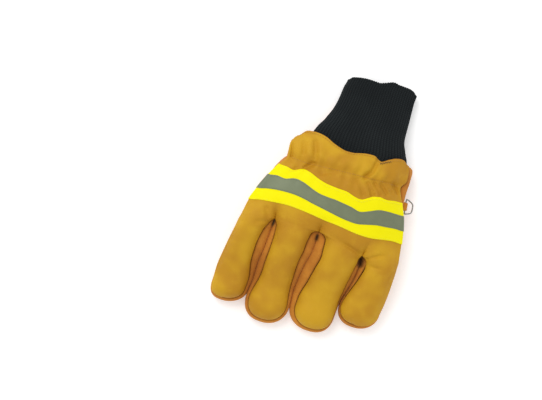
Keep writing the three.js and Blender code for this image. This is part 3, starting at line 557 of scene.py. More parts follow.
def leather_finish():
    material, tree, shader, place = new_finish("back_leather", {"Specular IOR Level": 0.16})
    broad = noise(tree, place, 24, 2, 0.5)
    patchy = noise(tree, place, 95, 4, 0.6)
    colour = mix(tree, ramp(tree, broad, 0.35, 0.68), LEATHER_DEEP, LEATHER_LIGHT)
    colour = mix(tree, ramp(tree, patchy, 0.48, 0.78, 0, 0.35), colour, LEATHER_WORN)
    seam = mark(tree, "seam")
    colour = mix(tree, ramp(tree, seam, 0.2, 1.5, 0.65, 0), colour, SEAM_BROWN)
    inside = mark(tree, "inside")
    colour = mix(tree, inside, colour, SUEDE_DEEP)
    pores = cells(tree, place, 1250, "DISTANCE_TO_EDGE")
    grain = ramp(tree, pores, 0.0, 0.22)
    wrinkle = noise(tree, place, 330, 3, 0.6, 0.6)
    normal = bump(tree, wrinkle, 0.0005, 0.35)
    normal = bump(tree, grain, 0.00012, 0.45, normal)
    rough = ramp(tree, noise(tree, place, 140, 3), 0.3, 0.7, 0.52, 0.66)
    connect(tree, shader, colour, rough, normal)
    return material


def suede_finish():
    material, tree, shader, place = new_finish("suede", {
        "Specular IOR Level": 0.15, "Sheen Weight": 0.25, "Sheen Roughness": 0.5,
        "Sheen Tint": (1.0, 0.62, 0.30, 1),
    })
    broad = noise(tree, place, 30, 3, 0.6)
    nap = noise(tree, place, 230, 5, 0.7, 0.8)
    fibres = noise(tree, place, 1500, 3, 0.7)
    colour = mix(tree, ramp(tree, broad, 0.33, 0.68), SUEDE_DEEP, SUEDE_LIGHT)
    colour = mix(tree, ramp(tree, nap, 0.42, 0.72, 0, 0.45), colour, SUEDE_DEEP)
    colour = mix(tree, ramp(tree, fibres, 0.45, 0.70, 0, 0.25), colour, SUEDE_LIGHT)
    seam = mark(tree, "seam")
    colour = mix(tree, ramp(tree, seam, 0.2, 1.5, 0.75, 0), colour, SUEDE_DARK)
    # Painted shade: the suede goes near black in the dark pit at each slot's end.
    colour = mix(tree, mark(tree, "pit"), colour, PIT_PAINTED_SHADE)
    normal = bump(tree, nap, 0.0006, 0.45)
    normal = bump(tree, fibres, 0.00025, 0.6, normal)
    rough = ramp(tree, nap, 0.3, 0.7, 0.86, 1.0)
    connect(tree, shader, colour, rough, normal)
    return material


def knit_finish():
    material, tree, shader, place = new_finish("knit", {
        "Specular IOR Level": 0.12, "Sheen Weight": 0.03, "Sheen Roughness": 0.6,
        "Sheen Tint": (0.55, 0.68, 0.70, 1),
    })
    across = mark(tree, "across")
    course = mark(tree, "course")
    slanted = maths(tree, "ADD", course, maths(tree, "MULTIPLY", across, 0.55))
    wave = maths(tree, "SINE", maths(tree, "MULTIPLY", slanted, 2 * math.pi))
    loop = maths(tree, "MULTIPLY", maths(tree, "ADD", maths(tree, "MULTIPLY", wave, 0.5), 0.5),
                 ramp(tree, across, 0.55, 1.0, 1, 0))
    fluff = noise(tree, place, 900, 4, 0.7)
    # Painted shade: the colour falls to the deep tone where the loops dip and in the grooves between the
    # ribs, as the bump does; the broad noise below is the yarn's own tone.
    colour = mix(tree, loop, KNIT_DEEP, KNIT_LIGHT)
    colour = mix(tree, ramp(tree, noise(tree, place, 35, 2), 0.3, 0.7, 0, 0.35), colour, KNIT_DEEP)
    normal = bump(tree, loop, 0.0006, 0.7)
    normal = bump(tree, fluff, 0.0003, 0.5, normal)
    rough = ramp(tree, fluff, 0.3, 0.7, 0.85, 1.0)
    connect(tree, shader, colour, rough, normal)
    return material


def weave(tree, pitch):
    """Threads over and under each other, along and across a band, from its marks in millimetres."""
    along = maths(tree, "SINE", maths(tree, "MULTIPLY", mark(tree, "along"), 2 * math.pi / pitch))
    across = maths(tree, "SINE", maths(tree, "MULTIPLY", mark(tree, "across"), 2 * math.pi / pitch))
    return ramp(tree, maths(tree, "MULTIPLY", along, across), -0.8, 0.8)


def tape_finish():
    # The tape's faint emission is a painted glow that stands in for its fluorescence.
    material, tree, shader, place = new_finish("fluorescent_tape", {
        "Specular IOR Level": 0.08, "Emission Color": (1.0, 0.90, 0.0, 1), "Emission Strength": 0.05,
    })
    threads = weave(tree, 0.9)
    soil = noise(tree, place, 60, 4, 0.6)
    colour = mix(tree, ramp(tree, soil, 0.5, 0.8, 0, 0.30), TAPE_YELLOW, TAPE_SOIL_AND_SHADE)
    # Painted shade: the colour darkens where the woven threads dip, as the bump does.
    colour = mix(tree, ramp(tree, threads, 0.0, 0.4, 0.25, 0), colour, TAPE_SOIL_AND_SHADE)
    normal = bump(tree, threads, 0.00012, 0.6)
    rough = ramp(tree, soil, 0.3, 0.7, 0.45, 0.62)
    connect(tree, shader, colour, rough, normal)
    return material


def strip_finish():
    constants = {"Specular IOR Level": 0.2, "Metallic": 0.2}
    material, tree, shader, place = new_finish("reflective_strip", constants)
    beads = cells(tree, place, 2600)
    crumple = noise(tree, place, 120, 4, 0.6)
    colour = mix(tree, ramp(tree, crumple, 0.35, 0.7), STRIP_SHADE, STRIP_GREY)
    colour = mix(tree, ramp(tree, beads, 0.25, 0.6, 0, 0.25), colour, STRIP_SHADE)
    normal = bump(tree, crumple, 0.0004, 0.35)
    normal = bump(tree, beads, 0.00008, 0.5, normal)
    rough = ramp(tree, crumple, 0.3, 0.7, 0.38, 0.55)
    connect(tree, shader, colour, rough, normal)
    return material


def steel_finish():
    material, tree, shader, place = new_finish("ring_steel", {"Metallic": 1.0})
    wear = noise(tree, place, 700, 4, 0.6)
    colour = mix(tree, ramp(tree, wear, 0.35, 0.7), STEEL_WORN, STEEL_BRIGHT)
    normal = bump(tree, wear, 0.0001, 0.3)
    connect(tree, shader, colour, ramp(tree, wear, 0.3, 0.7, 0.42, 0.25), normal)
    return material


def thread_finish(name, light, deep):
    material, tree, shader, place = new_finish(name, {"Specular IOR Level": 0.3, "Sheen Weight": 0.2})
    twist = noise(tree, place, 1800, 2, 0.5)
    colour = mix(tree, ramp(tree, twist, 0.35, 0.65), deep, light)
    connect(tree, shader, colour, ramp(tree, twist, 0.3, 0.7, 0.6, 0.8), bump(tree, twist, 0.0002, 0.6))
    return material


FINISHES = {
    "leather": leather_finish(),
    "suede": suede_finish(),
    "knit": knit_finish(),
    "tape": tape_finish(),
    "strip": strip_finish(),
    "steel": steel_finish(),
    "tan_thread": thread_finish("tan_thread", (0.56, 0.29, 0.032, 1), (0.42, 0.19, 0.022, 1)),
    "brown_thread": thread_finish("brown_thread", (0.16, 0.055, 0.012, 1), (0.07, 0.024, 0.008, 1)),
    "grey_thread": thread_finish("grey_thread", (0.20, 0.24, 0.16, 1), (0.14, 0.17, 0.11, 1)),
    "yellow_thread": thread_finish("yellow_thread", (0.92, 0.84, 0.004, 1), (0.86, 0.76, 0.004, 1)),
}


# Camera, light and floor

KNUCKLE_PIXEL = (322, 205)
KNUCKLE_PLACE = (0, 33)
PHOTO_SIZE = (542, 400)
PIXEL = 1.1
PHOTO_TURN = math.radians(18)
MIDDLE_HEIGHT = 35
CAMERA_DISTANCE = 1500
SENSOR = 36
WORLD_LIGHT = 0.78
KEY_PLACE = (-0.80, 0.8, 1.70)
KEY_SIZE = 1.2
KEY_POWER = 15
FLOOR_REACH = 3
FLOOR_GLOW = 0.28


def add_camera():
    data = bpy.data.cameras.new("camera")
    data.sensor_width = SENSOR
    data.lens = SENSOR * CAMERA_DISTANCE / (PHOTO_SIZE[0] * PIXEL)
    data.clip_end = 20
    camera = bpy.data.objects.new("camera", data)
    right = (PHOTO_SIZE[0] / 2 - KNUCKLE_PIXEL[0]) * PIXEL
    up = (KNUCKLE_PIXEL[1] - PHOTO_SIZE[1] / 2) * PIXEL
    x = KNUCKLE_PLACE[0] + right * math.cos(PHOTO_TURN) - up * math.sin(PHOTO_TURN)
    y = KNUCKLE_PLACE[1] + right * math.sin(PHOTO_TURN) + up * math.cos(PHOTO_TURN)
    place = (np.array([x, y, MIDDLE_HEIGHT + CAMERA_DISTANCE]) + ORIGIN) * MM
    camera.matrix_world = Matrix.Translation(Vector(place)) @ Matrix.Rotation(PHOTO_TURN, 4, "Z")
    bpy.context.scene.collection.objects.link(camera)
    bpy.context.scene.camera = camera


def add_area(name, place, size, power):
    data = bpy.data.lights.new(name, "AREA")
    data.shape = "DISK"
    data.size = size
    data.energy = power
    light = bpy.data.objects.new(name, data)
    light.location = place
    light.rotation_euler = (-Vector(place)).to_track_quat("-Z", "Y").to_euler()
    bpy.context.scene.collection.objects.link(light)


def add_studio():
    world = bpy.data.worlds.new("studio")
    world.use_nodes = True
    background = world.node_tree.nodes["Background"]
    background.inputs["Color"].default_value = (1, 1, 1, 1)
    background.inputs["Strength"].default_value = WORLD_LIGHT
    bpy.context.scene.world = world
    bpy.context.scene.view_settings.view_transform = "Standard"
    add_area("key_light", KEY_PLACE, KEY_SIZE, KEY_POWER)
    mesh = bpy.data.meshes.new("floor")
    corners = [(x * FLOOR_REACH, y * FLOOR_REACH, 0) for x, y in ((-1, -1), (1, -1), (1, 1), (-1, 1))]
    mesh.from_pydata(corners, [], [(0, 1, 2, 3)])
    floor = bpy.data.objects.new("floor", mesh)
    bpy.context.scene.collection.objects.link(floor)
    material, tree, shader, place = new_finish("floor", {
        "Specular IOR Level": 0.2, "Roughness": 0.9, "Emission Color": (1, 1, 1, 1),
        "Emission Strength": FLOOR_GLOW,
    })
    pale = mix(tree, noise(tree, place, 3, 2), (0.90, 0.90, 0.90, 1), (0.93, 0.93, 0.92, 1))
    connect(tree, shader, pale)
    mesh.materials.append(material)


add_camera()
add_studio()


# Fingers

NOSE_POWER = 2.3
NOSE_PLACE = 0.98
WEB_REACH = 1.6
WEB_BLEND = 0.9
GAPE_POWER = 0.7
BOXINESS = (4, 2.5)
straight_steps = np.linspace(0, 1, 46)
STRAIGHT = 0.55 * straight_steps + 0.45 * straight_steps ** 2
FAN = np.radians(90 * np.linspace(0, 1, 22)[1:])


def finger_plan(k):
    """Seam, widest line and keel of one finger in plan: straight rows, then a fan round its nose.

    Beyond the slots' ends the sides of two fingers press into each other by a little.
    """
    finger = FINGERS[k]
    tip = -finger["length"] * FINGER_REACH
    lines = (LINE_NAMES[k], LINE_NAMES[k + 1])
    half = (line_x(lines[1], tip) - line_x(lines[0], tip)) / 2
    nose = tip + half * NOSE_PLACE
    seams = []
    wides = []
    gapes = []
    webs = []
    for n, side in ((0, -1), (1, 1)):
        slot = k + n
        base = HAND_LENGTH * KNUCKLES[slot]
        y = lerp(base, nose, STRAIGHT)
        down = STRAIGHT * nose / tip
        opened = 1 - (1 - np.minimum(1, down / SLOT_OPENING)) ** 2
        opening = np.power(opened, SLOT_POINTS[slot])
        lip = LIP * opening * curve(FINGER_PLACES, finger["left" if side < 0 else "right"], down)
        gape_place = np.clip((base - y) / (GAPE_REACH * LIP), 0, 1)
        gape = SLOT_GAPES[slot] * LIP * np.sqrt(np.maximum(0, 1 - gape_place ** 2))
        edge = line_x(lines[n], y) + side * PRESSED * smooth(base - y, 0, LIP)
        seams.append(np.stack([edge - side * lip, y], axis=-1))
        web = SLOT_WEBS[slot] * LIP * (1 - smooth(base - y, 0, WEB_REACH * LIP))
        webs.append(np.concatenate([web, np.zeros(len(FAN))]))
        wides.append(np.stack([edge, y], axis=-1))
        gapes.append(np.concatenate([side * gape, np.zeros(len(FAN))]))
    middle_seam = (seams[0][-1] + seams[1][-1]) / 2
    middle_wide = (wides[0][-1] + wides[1][-1]) / 2
    keel = (wides[0] + wides[1]) / 2
    out = np.power(np.maximum(np.cos(FAN), 0), 2 / NOSE_POWER)
    out[-1] = 0
    ahead = np.power(np.sin(FAN), 2 / NOSE_POWER)
    lean = finger["lean"] * GLOVE_WIDTH * ahead * ahead
    for n in (0, 1):
        wide_x = middle_wide[0] + lean + (wides[n][-1, 0] - middle_wide[0]) * out
        wide = np.stack([wide_x, nose - (nose - tip) * ahead], axis=-1)
        seam_x = middle_wide[0] + lean + (seams[n][-1, 0] - middle_wide[0]) * out
        seam = np.stack([seam_x, nose - (nose - tip - NOSE_LIP) * ahead], axis=-1)
        wides[n] = np.concatenate([wides[n], wide])
        seams[n] = np.concatenate([seams[n], seam])
    keel = np.concatenate([keel, np.repeat(keel[-1:], len(FAN), axis=0)])
    spine = (seams[0][:len(STRAIGHT)] + seams[1][:len(STRAIGHT)]) / 2
    spine = np.concatenate([spine, np.repeat(middle_seam[None], len(FAN), axis=0)])
    return {"seams": seams, "wides": wides, "gapes": gapes, "webs": webs, "keel": keel, "spine": spine}


PLANS = [finger_plan(k) for k in range(len(FINGERS))]
SHOULDER_TURNS = np.radians(90 * np.linspace(0, 1, 12))
BELLY_TURNS = np.radians(90 * np.linspace(0, 1, 13)[1:])


def trough_half(plan, n):
    """One side of a suede trough, from its seam over the widest line to the keel."""
    seam = plan["seams"][n][:, None]
    wide = plan["wides"][n][:, None]
    keel = plan["keel"][:, None]
    rows = len(plan["keel"])
    row = np.arange(rows)[:, None]
    turn = SHOULDER_TURNS[None]
    shoulder = lerp(seam, wide, np.sin(turn)[..., None])
    shoulder[..., 0] -= plan["gapes"][n][:, None] * np.sin(2 * turn) ** GAPE_POWER
    web = plan["webs"][n][:, None]
    shoulder[..., 1] -= web * np.sin(turn)
    shoulder_z = lerp(BELLY_HEIGHT, SEAM_HEIGHT, np.cos(turn)) + np.zeros((rows, 1))
    boxiness = lerp(*BOXINESS, np.minimum(1, row / len(STRAIGHT)))
    out = np.power(np.maximum(np.cos(BELLY_TURNS), 0)[None], 2 / boxiness)
    out[:, -1] = 0
    sink = BELLY_HEIGHT * np.power(np.sin(BELLY_TURNS)[None], 2 / boxiness)
    belly = lerp(keel, wide, out[..., None])
    belly[..., 1] -= web * (1 - smooth(BELLY_TURNS[None], 0, WEB_BLEND))
    belly_z = np.maximum(0, BELLY_HEIGHT - sink - REST_FLAT)
    plane = np.concatenate([shoulder, belly], axis=1)
    z = np.concatenate([shoulder_z, belly_z], axis=1)
    return stack(plane[..., 0], plane[..., 1], z + lift(plane[..., 0], plane[..., 1]))


def tuck(distance, depth=0.9, reach=1.1):
    """How far a sheet turns in at a seam."""
    return -depth * bell(distance / reach)


def pit_shade(points):
    """How deep in the painted shade of the dark pit at a slot's end each point lies, from 0 to 1."""
    total = np.zeros(points.shape[:-1])
    for slot, pit in enumerate(SLOT_PITS, 1):
        base = HAND_LENGTH * KNUCKLES[slot]
        along = (base - points[..., 1]) / LIP
        off = (points[..., 0] - line_x(LINE_NAMES[slot], points[..., 1])) / (pit["half"] * LIP)
        middle = (pit["start"] + pit["end"]) / 2
        reach = (pit["end"] - pit["start"]) / 2
        total += bell(off) * np.exp(-((along - middle) / reach) ** 4)
    return np.minimum(1, total)


def add_finger_front(k):
    plan = PLANS[k]
    left = trough_half(plan, 0)
    right = trough_half(plan, 1)
    points = np.concatenate([left, right[:, -2::-1]], axis=1)
    # The pit mark carries the painted shade at the slots' ends.
    sheet = join([{"points": points, "seam": to_sides(points), "pit": pit_shade(points)}])
    made = shell(sheet, tuck(sheet["marks"]["seam"]) * clear_of_slots(sheet["points"]), -LEATHER)
    add_piece("suede_" + FINGERS[k]["name"], made, FINISHES["suede"], [FINGERS[k]["name"]])


# Back of the hand

SEAM_Z = SEAM_HEIGHT + GAP
HALF_TURNS = np.concatenate([[0, 0.02, 0.04, 0.065, 0.1, 0.14], np.linspace(0.19, 1, 14)])
HALF_AWAY = np.power(np.cos(HALF_TURNS * math.pi / 2), 2 / CROWN_POWER)
HALF_AWAY[-1] = 0
HALF_COLUMNS = len(HALF_AWAY) - 1
HAND_COLUMNS = 8 * HALF_COLUMNS


def finger_back(plan, n):
    """One half of a finger's leather, from its seam to its spine."""
    away = HALF_AWAY[None, :, None]
    place = lerp(plan["spine"][:, None], plan["seams"][n][:, None], away)
    z = SEAM_Z + FINGER_CROWN * dome(HALF_AWAY)[None] + lift(place[..., 0], place[..., 1])
    return stack(place[..., 0], place[..., 1], z)


def knuckle_row(halves):
    """The first rows of the four fingers, side by side, with one shared point at each slot's end."""
    rows = []
    for k, (left, right) in enumerate(halves):
        row = np.concatenate([left[0], right[0, -2::-1]])
        if k > 0:
            before = rows[-1]
            y = HAND_LENGTH * KNUCKLES[k]
            x = (before[-1, 0] + row[0, 0]) / 2
            before[-1] = (x, y, SEAM_Z + lift(x, y))
            row[0] = before[-1]
            halves[k - 1][1][0, 0] = before[-1]
            left[0, 0] = before[-1]
        rows.append(row)
    return np.concatenate([row if k == 0 else row[1:] for k, row in enumerate(rows)])


FINGER_HALVES = [(finger_back(plan, 0), finger_back(plan, 1)) for plan in PLANS]
KNUCKLE_ROW = knuckle_row(FINGER_HALVES)
KNUCKLE_SHARES = (KNUCKLE_ROW[:, 0] - KNUCKLE_ROW[0, 0]) / (KNUCKLE_ROW[-1, 0] - KNUCKLE_ROW[0, 0])
even = np.linspace(0, 1, HAND_COLUMNS + 1)
EDGE_POWER = 1.6
KNUCKLE_BLEND = 0.24
LEAST_HEIGHT = 0.05
RELAXED_SHARES = np.where(
    even < 0.5, 0.5 * (2 * even) ** EDGE_POWER, 1 - 0.5 * (2 - 2 * even) ** EDGE_POWER)


def crease_height(x, y):
    """Dents along the creases: where two meet the deeper one counts, and their raised sides add up."""
    deep = np.zeros_like(x)
    raised = np.zeros_like(x)
    for crease in CREASES:
        ax, bx = (GLOVE_WIDTH * share for share in crease["x"])
        ay, by = (HAND_LENGTH * share for share in crease["y"])
        t = ((x - ax) * (bx - ax) + (y - ay) * (by - ay)) / ((bx - ax) ** 2 + (by - ay) ** 2)
        t = np.clip(t, 0, 1)
        off = np.hypot(x - lerp(ax, bx, t), y - lerp(ay, by, t)) / (crease["width"] * HAND_LENGTH)
        found = CREASE_STRENGTH * crease["depth"] * (1 - 0.35 * off * off) * bell(off)
        deep = np.maximum(deep, found)
        raised += np.minimum(found, 0)
    return -deep - raised


def fold_height(x, y):
    total = np.zeros_like(x)
    for fold in FOLDS:
        turn = math.radians(fold["turn"])
        dx = x - fold["x"] * GLOVE_WIDTH
        dy = y - fold["y"] * HAND_LENGTH
        along = (dx * math.cos(turn) + dy * math.sin(turn)) / (fold["along"] * HAND_LENGTH)
        across = (dy * math.cos(turn) - dx * math.sin(turn)) / (fold["across"] * HAND_LENGTH)
        total += fold["height"] * np.exp(-along * along - across * across)
    return total


def line_y(values, shares):
    return HAND_LENGTH * through(values, shares * (len(values) - 1))


def gather_height(shares, y):
    """The elastic inside the wrist draws a valley across the back, with gathers beside it."""
    elastic = next(line for line in HAND_LINES if line["name"] == "elastic")
    off = (y - line_y(elastic["y"], shares)) / HAND_LENGTH
    valley = VALLEY_DEPTH * bell(off / VALLEY_REACH)
    gather = np.cos(2 * math.pi * GATHER_COUNT * shares + 1.1 * np.sin(9 * shares))
    return GATHER_HEIGHT * gather * bell(off / GATHER_REACH) - valley


def hand_grid():
    """All rows of the back of the hand, with each row's place between the lines."""
    left = [KNUCKLE_ROW[0, 0]] + [GLOVE_WIDTH * line["left"] for line in HAND_LINES]
    right = [KNUCKLE_ROW[-1, 0]] + [GLOVE_WIDTH * line["right"] for line in HAND_LINES]
    outline = [KNUCKLE_ROW[-1, 0]] + [GLOVE_WIDTH * line["outline"] for line in HAND_LINES]
    half_way = (KNUCKLE_SHARES + RELAXED_SHARES) / 2
    shares = [KNUCKLE_SHARES, half_way] + [RELAXED_SHARES] * (len(HAND_LINES) - 1)
    ys = [KNUCKLE_ROW[:, 1]] + [line_y(line["y"], shares[n + 1]) for n, line in enumerate(HAND_LINES)]
    places = [float(np.mean(y)) for y in ys]
    at = [places[0]]
    starts = [0]
    for n, line in enumerate(HAND_LINES):
        at.extend(np.linspace(places[n], places[n + 1], line["rows"] + 1)[1:])
        starts.append(len(at) - 1)
    at = np.array(at)
    share = curve(places, np.array(shares), at)
    y = curve(places, np.array(ys), at)
    low = curve(places, left, at)[:, None]
    high = curve(places, right, at)[:, None]
    x = lerp(low, high, share)
    knuckle_height = KNUCKLE_ROW[:, 2] - lift(KNUCKLE_ROW[:, 0], KNUCKLE_ROW[:, 1]) - SEAM_Z
    away = 2 * share - 1
    opened = 1 - (1 - np.clip((y - KNUCKLE_ROW[None, :, 1]) / (KNUCKLE_BLEND * HAND_LENGTH), 0, 1)) ** 2
    hand = HAND_CROWN * (dome(away) + np.sqrt(dome(away)) * (gather_height(share, y) + fold_height(x, y)))
    height = lerp(knuckle_height[None], hand, opened)
    height[0] = knuckle_height
    height[1:, 1:-1] = np.maximum(height[1:, 1:-1], LEAST_HEIGHT)
    height[:, 0] = 0
    height[:, -1] = 0
    z = SEAM_Z + height + lift(x, y)
    points = stack(x, y, z)
    row_number = np.interp(at, places, range(len(places)))
    return {"points": points, "starts": starts, "line": row_number, "share": share,
            "outline": curve(places, outline, at)}


HAND = hand_grid()
HAND["points"][0] = KNUCKLE_ROW


def grid_normals(points):
    down = np.gradient(points, axis=0)
    along = np.gradient(points, axis=1)
    return unit(np.cross(along, down))


def line_row(name):
    names = [line["name"] for line in HAND_LINES]
    return HAND["starts"][names.index(name) + 1]


def slot_distance(points):
    found = np.full(points.shape[:-1], FAR)
    for k in range(1, len(FINGERS)):
        end = KNUCKLE_ROW[2 * HALF_COLUMNS * k]
        found = np.minimum(found, np.linalg.norm(points - end, axis=-1))
    return found


def clear_of_slots(points):
    """0 at the slots' ends, where the sheets are held, and 1 away from them."""
    return smooth(slot_distance(points), *SLOT_HOLD)


def held_relief(points, seam):
    """Creases in millimetres, which fade out at the seams, where the leather is held."""
    return HAND_CROWN * crease_height(points[..., 0], points[..., 1]) * smooth(seam, *RELIEF_FADE)


def back_patches():
    """The leather of the four fingers, in halves, and of the hand, all with the same marks."""
    patches = []
    last = len(FINGER_HALVES) - 1
    for k, (left, right) in enumerate(FINGER_HALVES):
        for half, mirrored in ((left, False), (right, True)):
            seam = lengths_along(half)
            outer_side = (k == 0 and not mirrored) or (k == last and mirrored)
            points = half.copy()
            points[..., 2] += held_relief(points, seam)
            order = slice(None, None, -1) if mirrored else slice(None)
            patches.append({"points": points[::-1, order], "seam": seam[::-1, order],
                            "wrist": np.full(seam.shape, FAR),
                            "roll": np.full(seam.shape, float(outer_side))})
    points = HAND["points"]
    side = to_sides(points)
    seam = np.minimum(side, slot_distance(points))
    seam[0] = patches_row(patches)
    roll = smooth(-side, *ROLL_FADE)
    roll[0] = 0.5
    wrist = lengths_down(points[::-1])[::-1]
    points[..., 2] += held_relief(points, seam)
    patches.append({"points": points, "seam": seam, "wrist": wrist, "roll": roll})
    return patches


def patches_row(patches):
    """Seam distances along the knuckle row, from the finger patches that end on it."""
    found = [patches[0]["seam"][-1]]
    for patch in patches[1:]:
        found.append(patch["seam"][-1][1:])
    return np.concatenate(found)


def side_roll(distance, share=1.0):
    """How far the padded leather stands out beside a seam, most at the glove's two sides."""
    return (SEAM_ROLL + SIDE_ROLL * share) * bell((distance - ROLL_PLACE) / ROLL_REACH)


# The leather's free edge at the wrist is thinner and rounded.
EDGE_BULGE = 0.1
RIM_ROUND = 0.5
BACK_RIM = {"reach": 1.6, "outer": 0.5, "inner": 0.3, "bulge": 1.1}
PALM_RIM = {"reach": 1.5, "outer": 0.3, "bulge": 0.9}


def add_back():
    sheet = join(back_patches())
    wrist = sheet["marks"]["wrist"]
    seam = sheet["marks"]["seam"]
    roll = side_roll(seam, sheet["marks"]["roll"])
    worn = bell(wrist / BACK_RIM["reach"])
    outer = tuck(seam) * clear_of_slots(sheet["points"]) + roll - BACK_RIM["outer"] * worn
    inner = -LEATHER + roll + BACK_RIM["inner"] * worn
    bulge = EDGE_BULGE + BACK_RIM["bulge"] * bell(wrist / RIM_ROUND)
    made = shell(sheet, outer, inner, bulge, 6)
    add_piece("leather_back", made, FINISHES["leather"], ["back_panel"])


# Reflective bands

TAPE_SEAT = 0.15
STRIP_SEAT = 0.1
BAND_END_REACH = 1.3
BAND_END_SINK = 0.5
BAND_END_THIN = 0.25


def band_sheet(first, last):
    points = HAND["points"][line_row(first):line_row(last) + 1]
    return join([{"points": points, "along": lengths_along(points), "across": lengths_down(points),
                  "ends": to_sides(points)}])


def add_band(name, node, first, last, low, high, finish):
    sheet = band_sheet(first, last)
    ends = sheet["marks"]["ends"]
    held = 1 - bell(ends / BAND_END_REACH)
    inner = low + side_roll(ends) - BAND_END_SINK * (1 - held)
    outer = inner + (high - low) * lerp(BAND_END_THIN, 1, held)
    made = shell(sheet, outer, inner, 0.15, 4)
    add_piece(name, made, FINISHES[finish], [node])


def add_bands():
    add_band("fluorescent_band", "reflective_tape", "tape_bottom", "tape_top", TAPE_SEAT, TAPE,
             "tape")
    seat = TAPE + STRIP_SEAT
    add_band("silver_band", "silver_strip", "strip_bottom", "strip_top", seat, seat + STRIP,
             "strip")


# Palm

PALM_POWER = 5
SIDE_BOW = 0.1
HOLE_LEAST = 0.2
HOLE_NEAR = 0.6

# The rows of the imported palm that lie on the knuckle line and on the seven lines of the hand.
PALM_ROWS = (0, 3, 5, 7, 9, 11, 13, 15)
PALM_SHOULDER = np.radians(90 * np.linspace(0, 1, 9))


def palm_points():
    rows = HAND["line"]
    back = HAND["points"]
    cad_rows = np.interp(rows, range(len(PALM_ROWS)), PALM_ROWS)
    cad_row = cad_rows[:, None]
    share = HAND["share"]
    left = back[:, :1]
    right = back[:, -1:]
    outline = HAND["outline"][:, None]
    x = lerp(left[..., 0], outline, share)
    straight = lerp(left[..., 1], right[..., 1], share)
    knuckle_line = KNUCKLE_ROW[None, :, 1] - lerp(KNUCKLE_ROW[0, 1], KNUCKLE_ROW[-1, 1], share)
    wrist_line = line_y(PALM_WRIST, share) - straight
    y = straight + knuckle_line * (1 - smooth(cad_row, 0, 5)) + wrist_line * smooth(cad_row, 11, 15)
    away = np.power(np.abs(2 * share - 1), PALM_POWER)
    rise = BELLY_HEIGHT * (1 - np.power(np.maximum(0, 1 - away), 1 / PALM_POWER))
    floor = np.maximum(0, rise - REST_FLAT * np.minimum(1, (BELLY_HEIGHT - rise) / REST_FLAT))
    turn = PALM_SHOULDER[None]
    z_side = lerp(BELLY_HEIGHT, SEAM_HEIGHT, np.cos(turn))
    bow = SIDE_BOW * np.sin(math.pi * PALM_SHOULDER / PALM_SHOULDER[-1])[None] * smooth(cad_row, 0, 2)
    left_x = left[..., 0] - bow
    right_x = right[..., 0] + (outline - right[..., 0]) * np.sin(turn) + bow
    side_y = np.zeros_like(turn)
    x = np.concatenate([left_x[:, :-1], x, right_x[:, -2::-1]], axis=1)
    y = np.concatenate([left[..., 1] + side_y[:, :-1], y, right[..., 1] + side_y[:, :-1]], axis=1)
    left_z = z_side[:, :-1] + 0 * left_x[:, :-1]
    right_z = z_side[:, -2::-1] + 0 * right_x[:, :-1]
    z = np.concatenate([left_z, floor, right_z], axis=1)
    y = y + GAP * (1 - smooth(cad_row, 0, 3))
    return stack(x, y, z + lift(x, y))


PALM = palm_points()[::-1]


def add_palm():
    points = PALM.copy()
    seam = to_sides(points)
    wrist = lengths_down(points)
    hole = (THUMB_HOLE["x"] * GLOVE_WIDTH, THUMB_HOLE["y"] * HAND_LENGTH)
    reach = (THUMB_HOLE["half_x"] * GLOVE_WIDTH, THUMB_HOLE["half_y"] * HAND_LENGTH)
    dx = (points[..., 0] - hole[0]) / reach[0]
    dy = (points[..., 1] - hole[1]) / reach[1]
    off = np.hypot(dx, dy)
    shoulder = len(PALM_SHOULDER)
    bottom = np.zeros(off.shape, bool)
    bottom[:, shoulder:-shoulder] = True
    inside = (off < 1) & bottom
    kept = ~(inside[:-1, :-1] & inside[1:, :-1] & inside[:-1, 1:] & inside[1:, 1:])
    pushed = np.where(inside, 1 / np.maximum(off, HOLE_LEAST), 1)
    near = inside & (off > HOLE_NEAR)
    points[..., 0] = np.where(near, hole[0] + dx * reach[0] * pushed, points[..., 0])
    points[..., 1] = np.where(near, hole[1] + dy * reach[1] * pushed, points[..., 1])
    sheet = join([{"points": points, "seam": seam, "wrist": wrist, "kept": kept}])
    used = np.unique(sheet["faces"])
    number = np.zeros(len(sheet["points"]), int)
    number[used] = np.arange(len(used))
    sheet = {"points": sheet["points"][used], "faces": number[sheet["faces"]],
             "marks": {name: value[used] for name, value in sheet["marks"].items()}}
    distance = sheet["marks"]["seam"]
    wrist = sheet["marks"]["wrist"]
    bulge = EDGE_BULGE + PALM_RIM["bulge"] * bell(wrist / RIM_ROUND)
    outer = tuck(distance) - PALM_RIM["outer"] * bell(wrist / PALM_RIM["reach"])
    made = shell(sheet, outer, -LEATHER, bulge, 4)
    add_piece("suede_palm", made, FINISHES["suede"], ["palm_panel"])


# Thumb

THUMB_NOSE = 0.13
THUMB_NOSE_POWER = 2.2
THUMB_POWER = 2.8
THUMB_MIDDLE = 0.45
THUMB_FLAT = 0.35


def thumb_points(rows=70, around=72):
    share = 0.5 - 0.5 * np.cos(math.pi * np.linspace(0, 1, rows))
    near = np.minimum(share, 1 - share)
    closed = 1 - np.minimum(near / THUMB_NOSE, 1)
    closed = np.maximum(0, 1 - np.power(closed, THUMB_NOSE_POWER))
    rounding = np.where(near >= THUMB_NOSE, 1, np.power(closed, 1 / THUMB_NOSE_POWER))
    x = (THUMB_ROOT * GLOVE_WIDTH + share * THUMB_LENGTH)[:, None]
    centre = HAND_LENGTH * section(THUMB_SECTIONS, "centre", share)[:, None]
    half = THUMB_WIDTH * section(THUMB_SECTIONS, "half", share)[:, None] * rounding[:, None]
    turn = 2 * math.pi * np.arange(around + 1)[None] / around
    across, up = boxy_turn(turn, 2 / THUMB_POWER)
    up = up * rounding[:, None]
    across[:, -1] = across[:, 0]
    up[:, -1] = up[:, 0]
    y = centre + half * across
    roof = lift(x, y) - GAP
    middle = THUMB_MIDDLE * roof
    z = middle + np.where(up > 0, roof - middle, middle) * up * lerp(THUMB_FLAT, 1, rounding[:, None])
    z = np.maximum(z, REST_FLAT) - REST_FLAT
    return stack(x + 0 * y, y, z), up


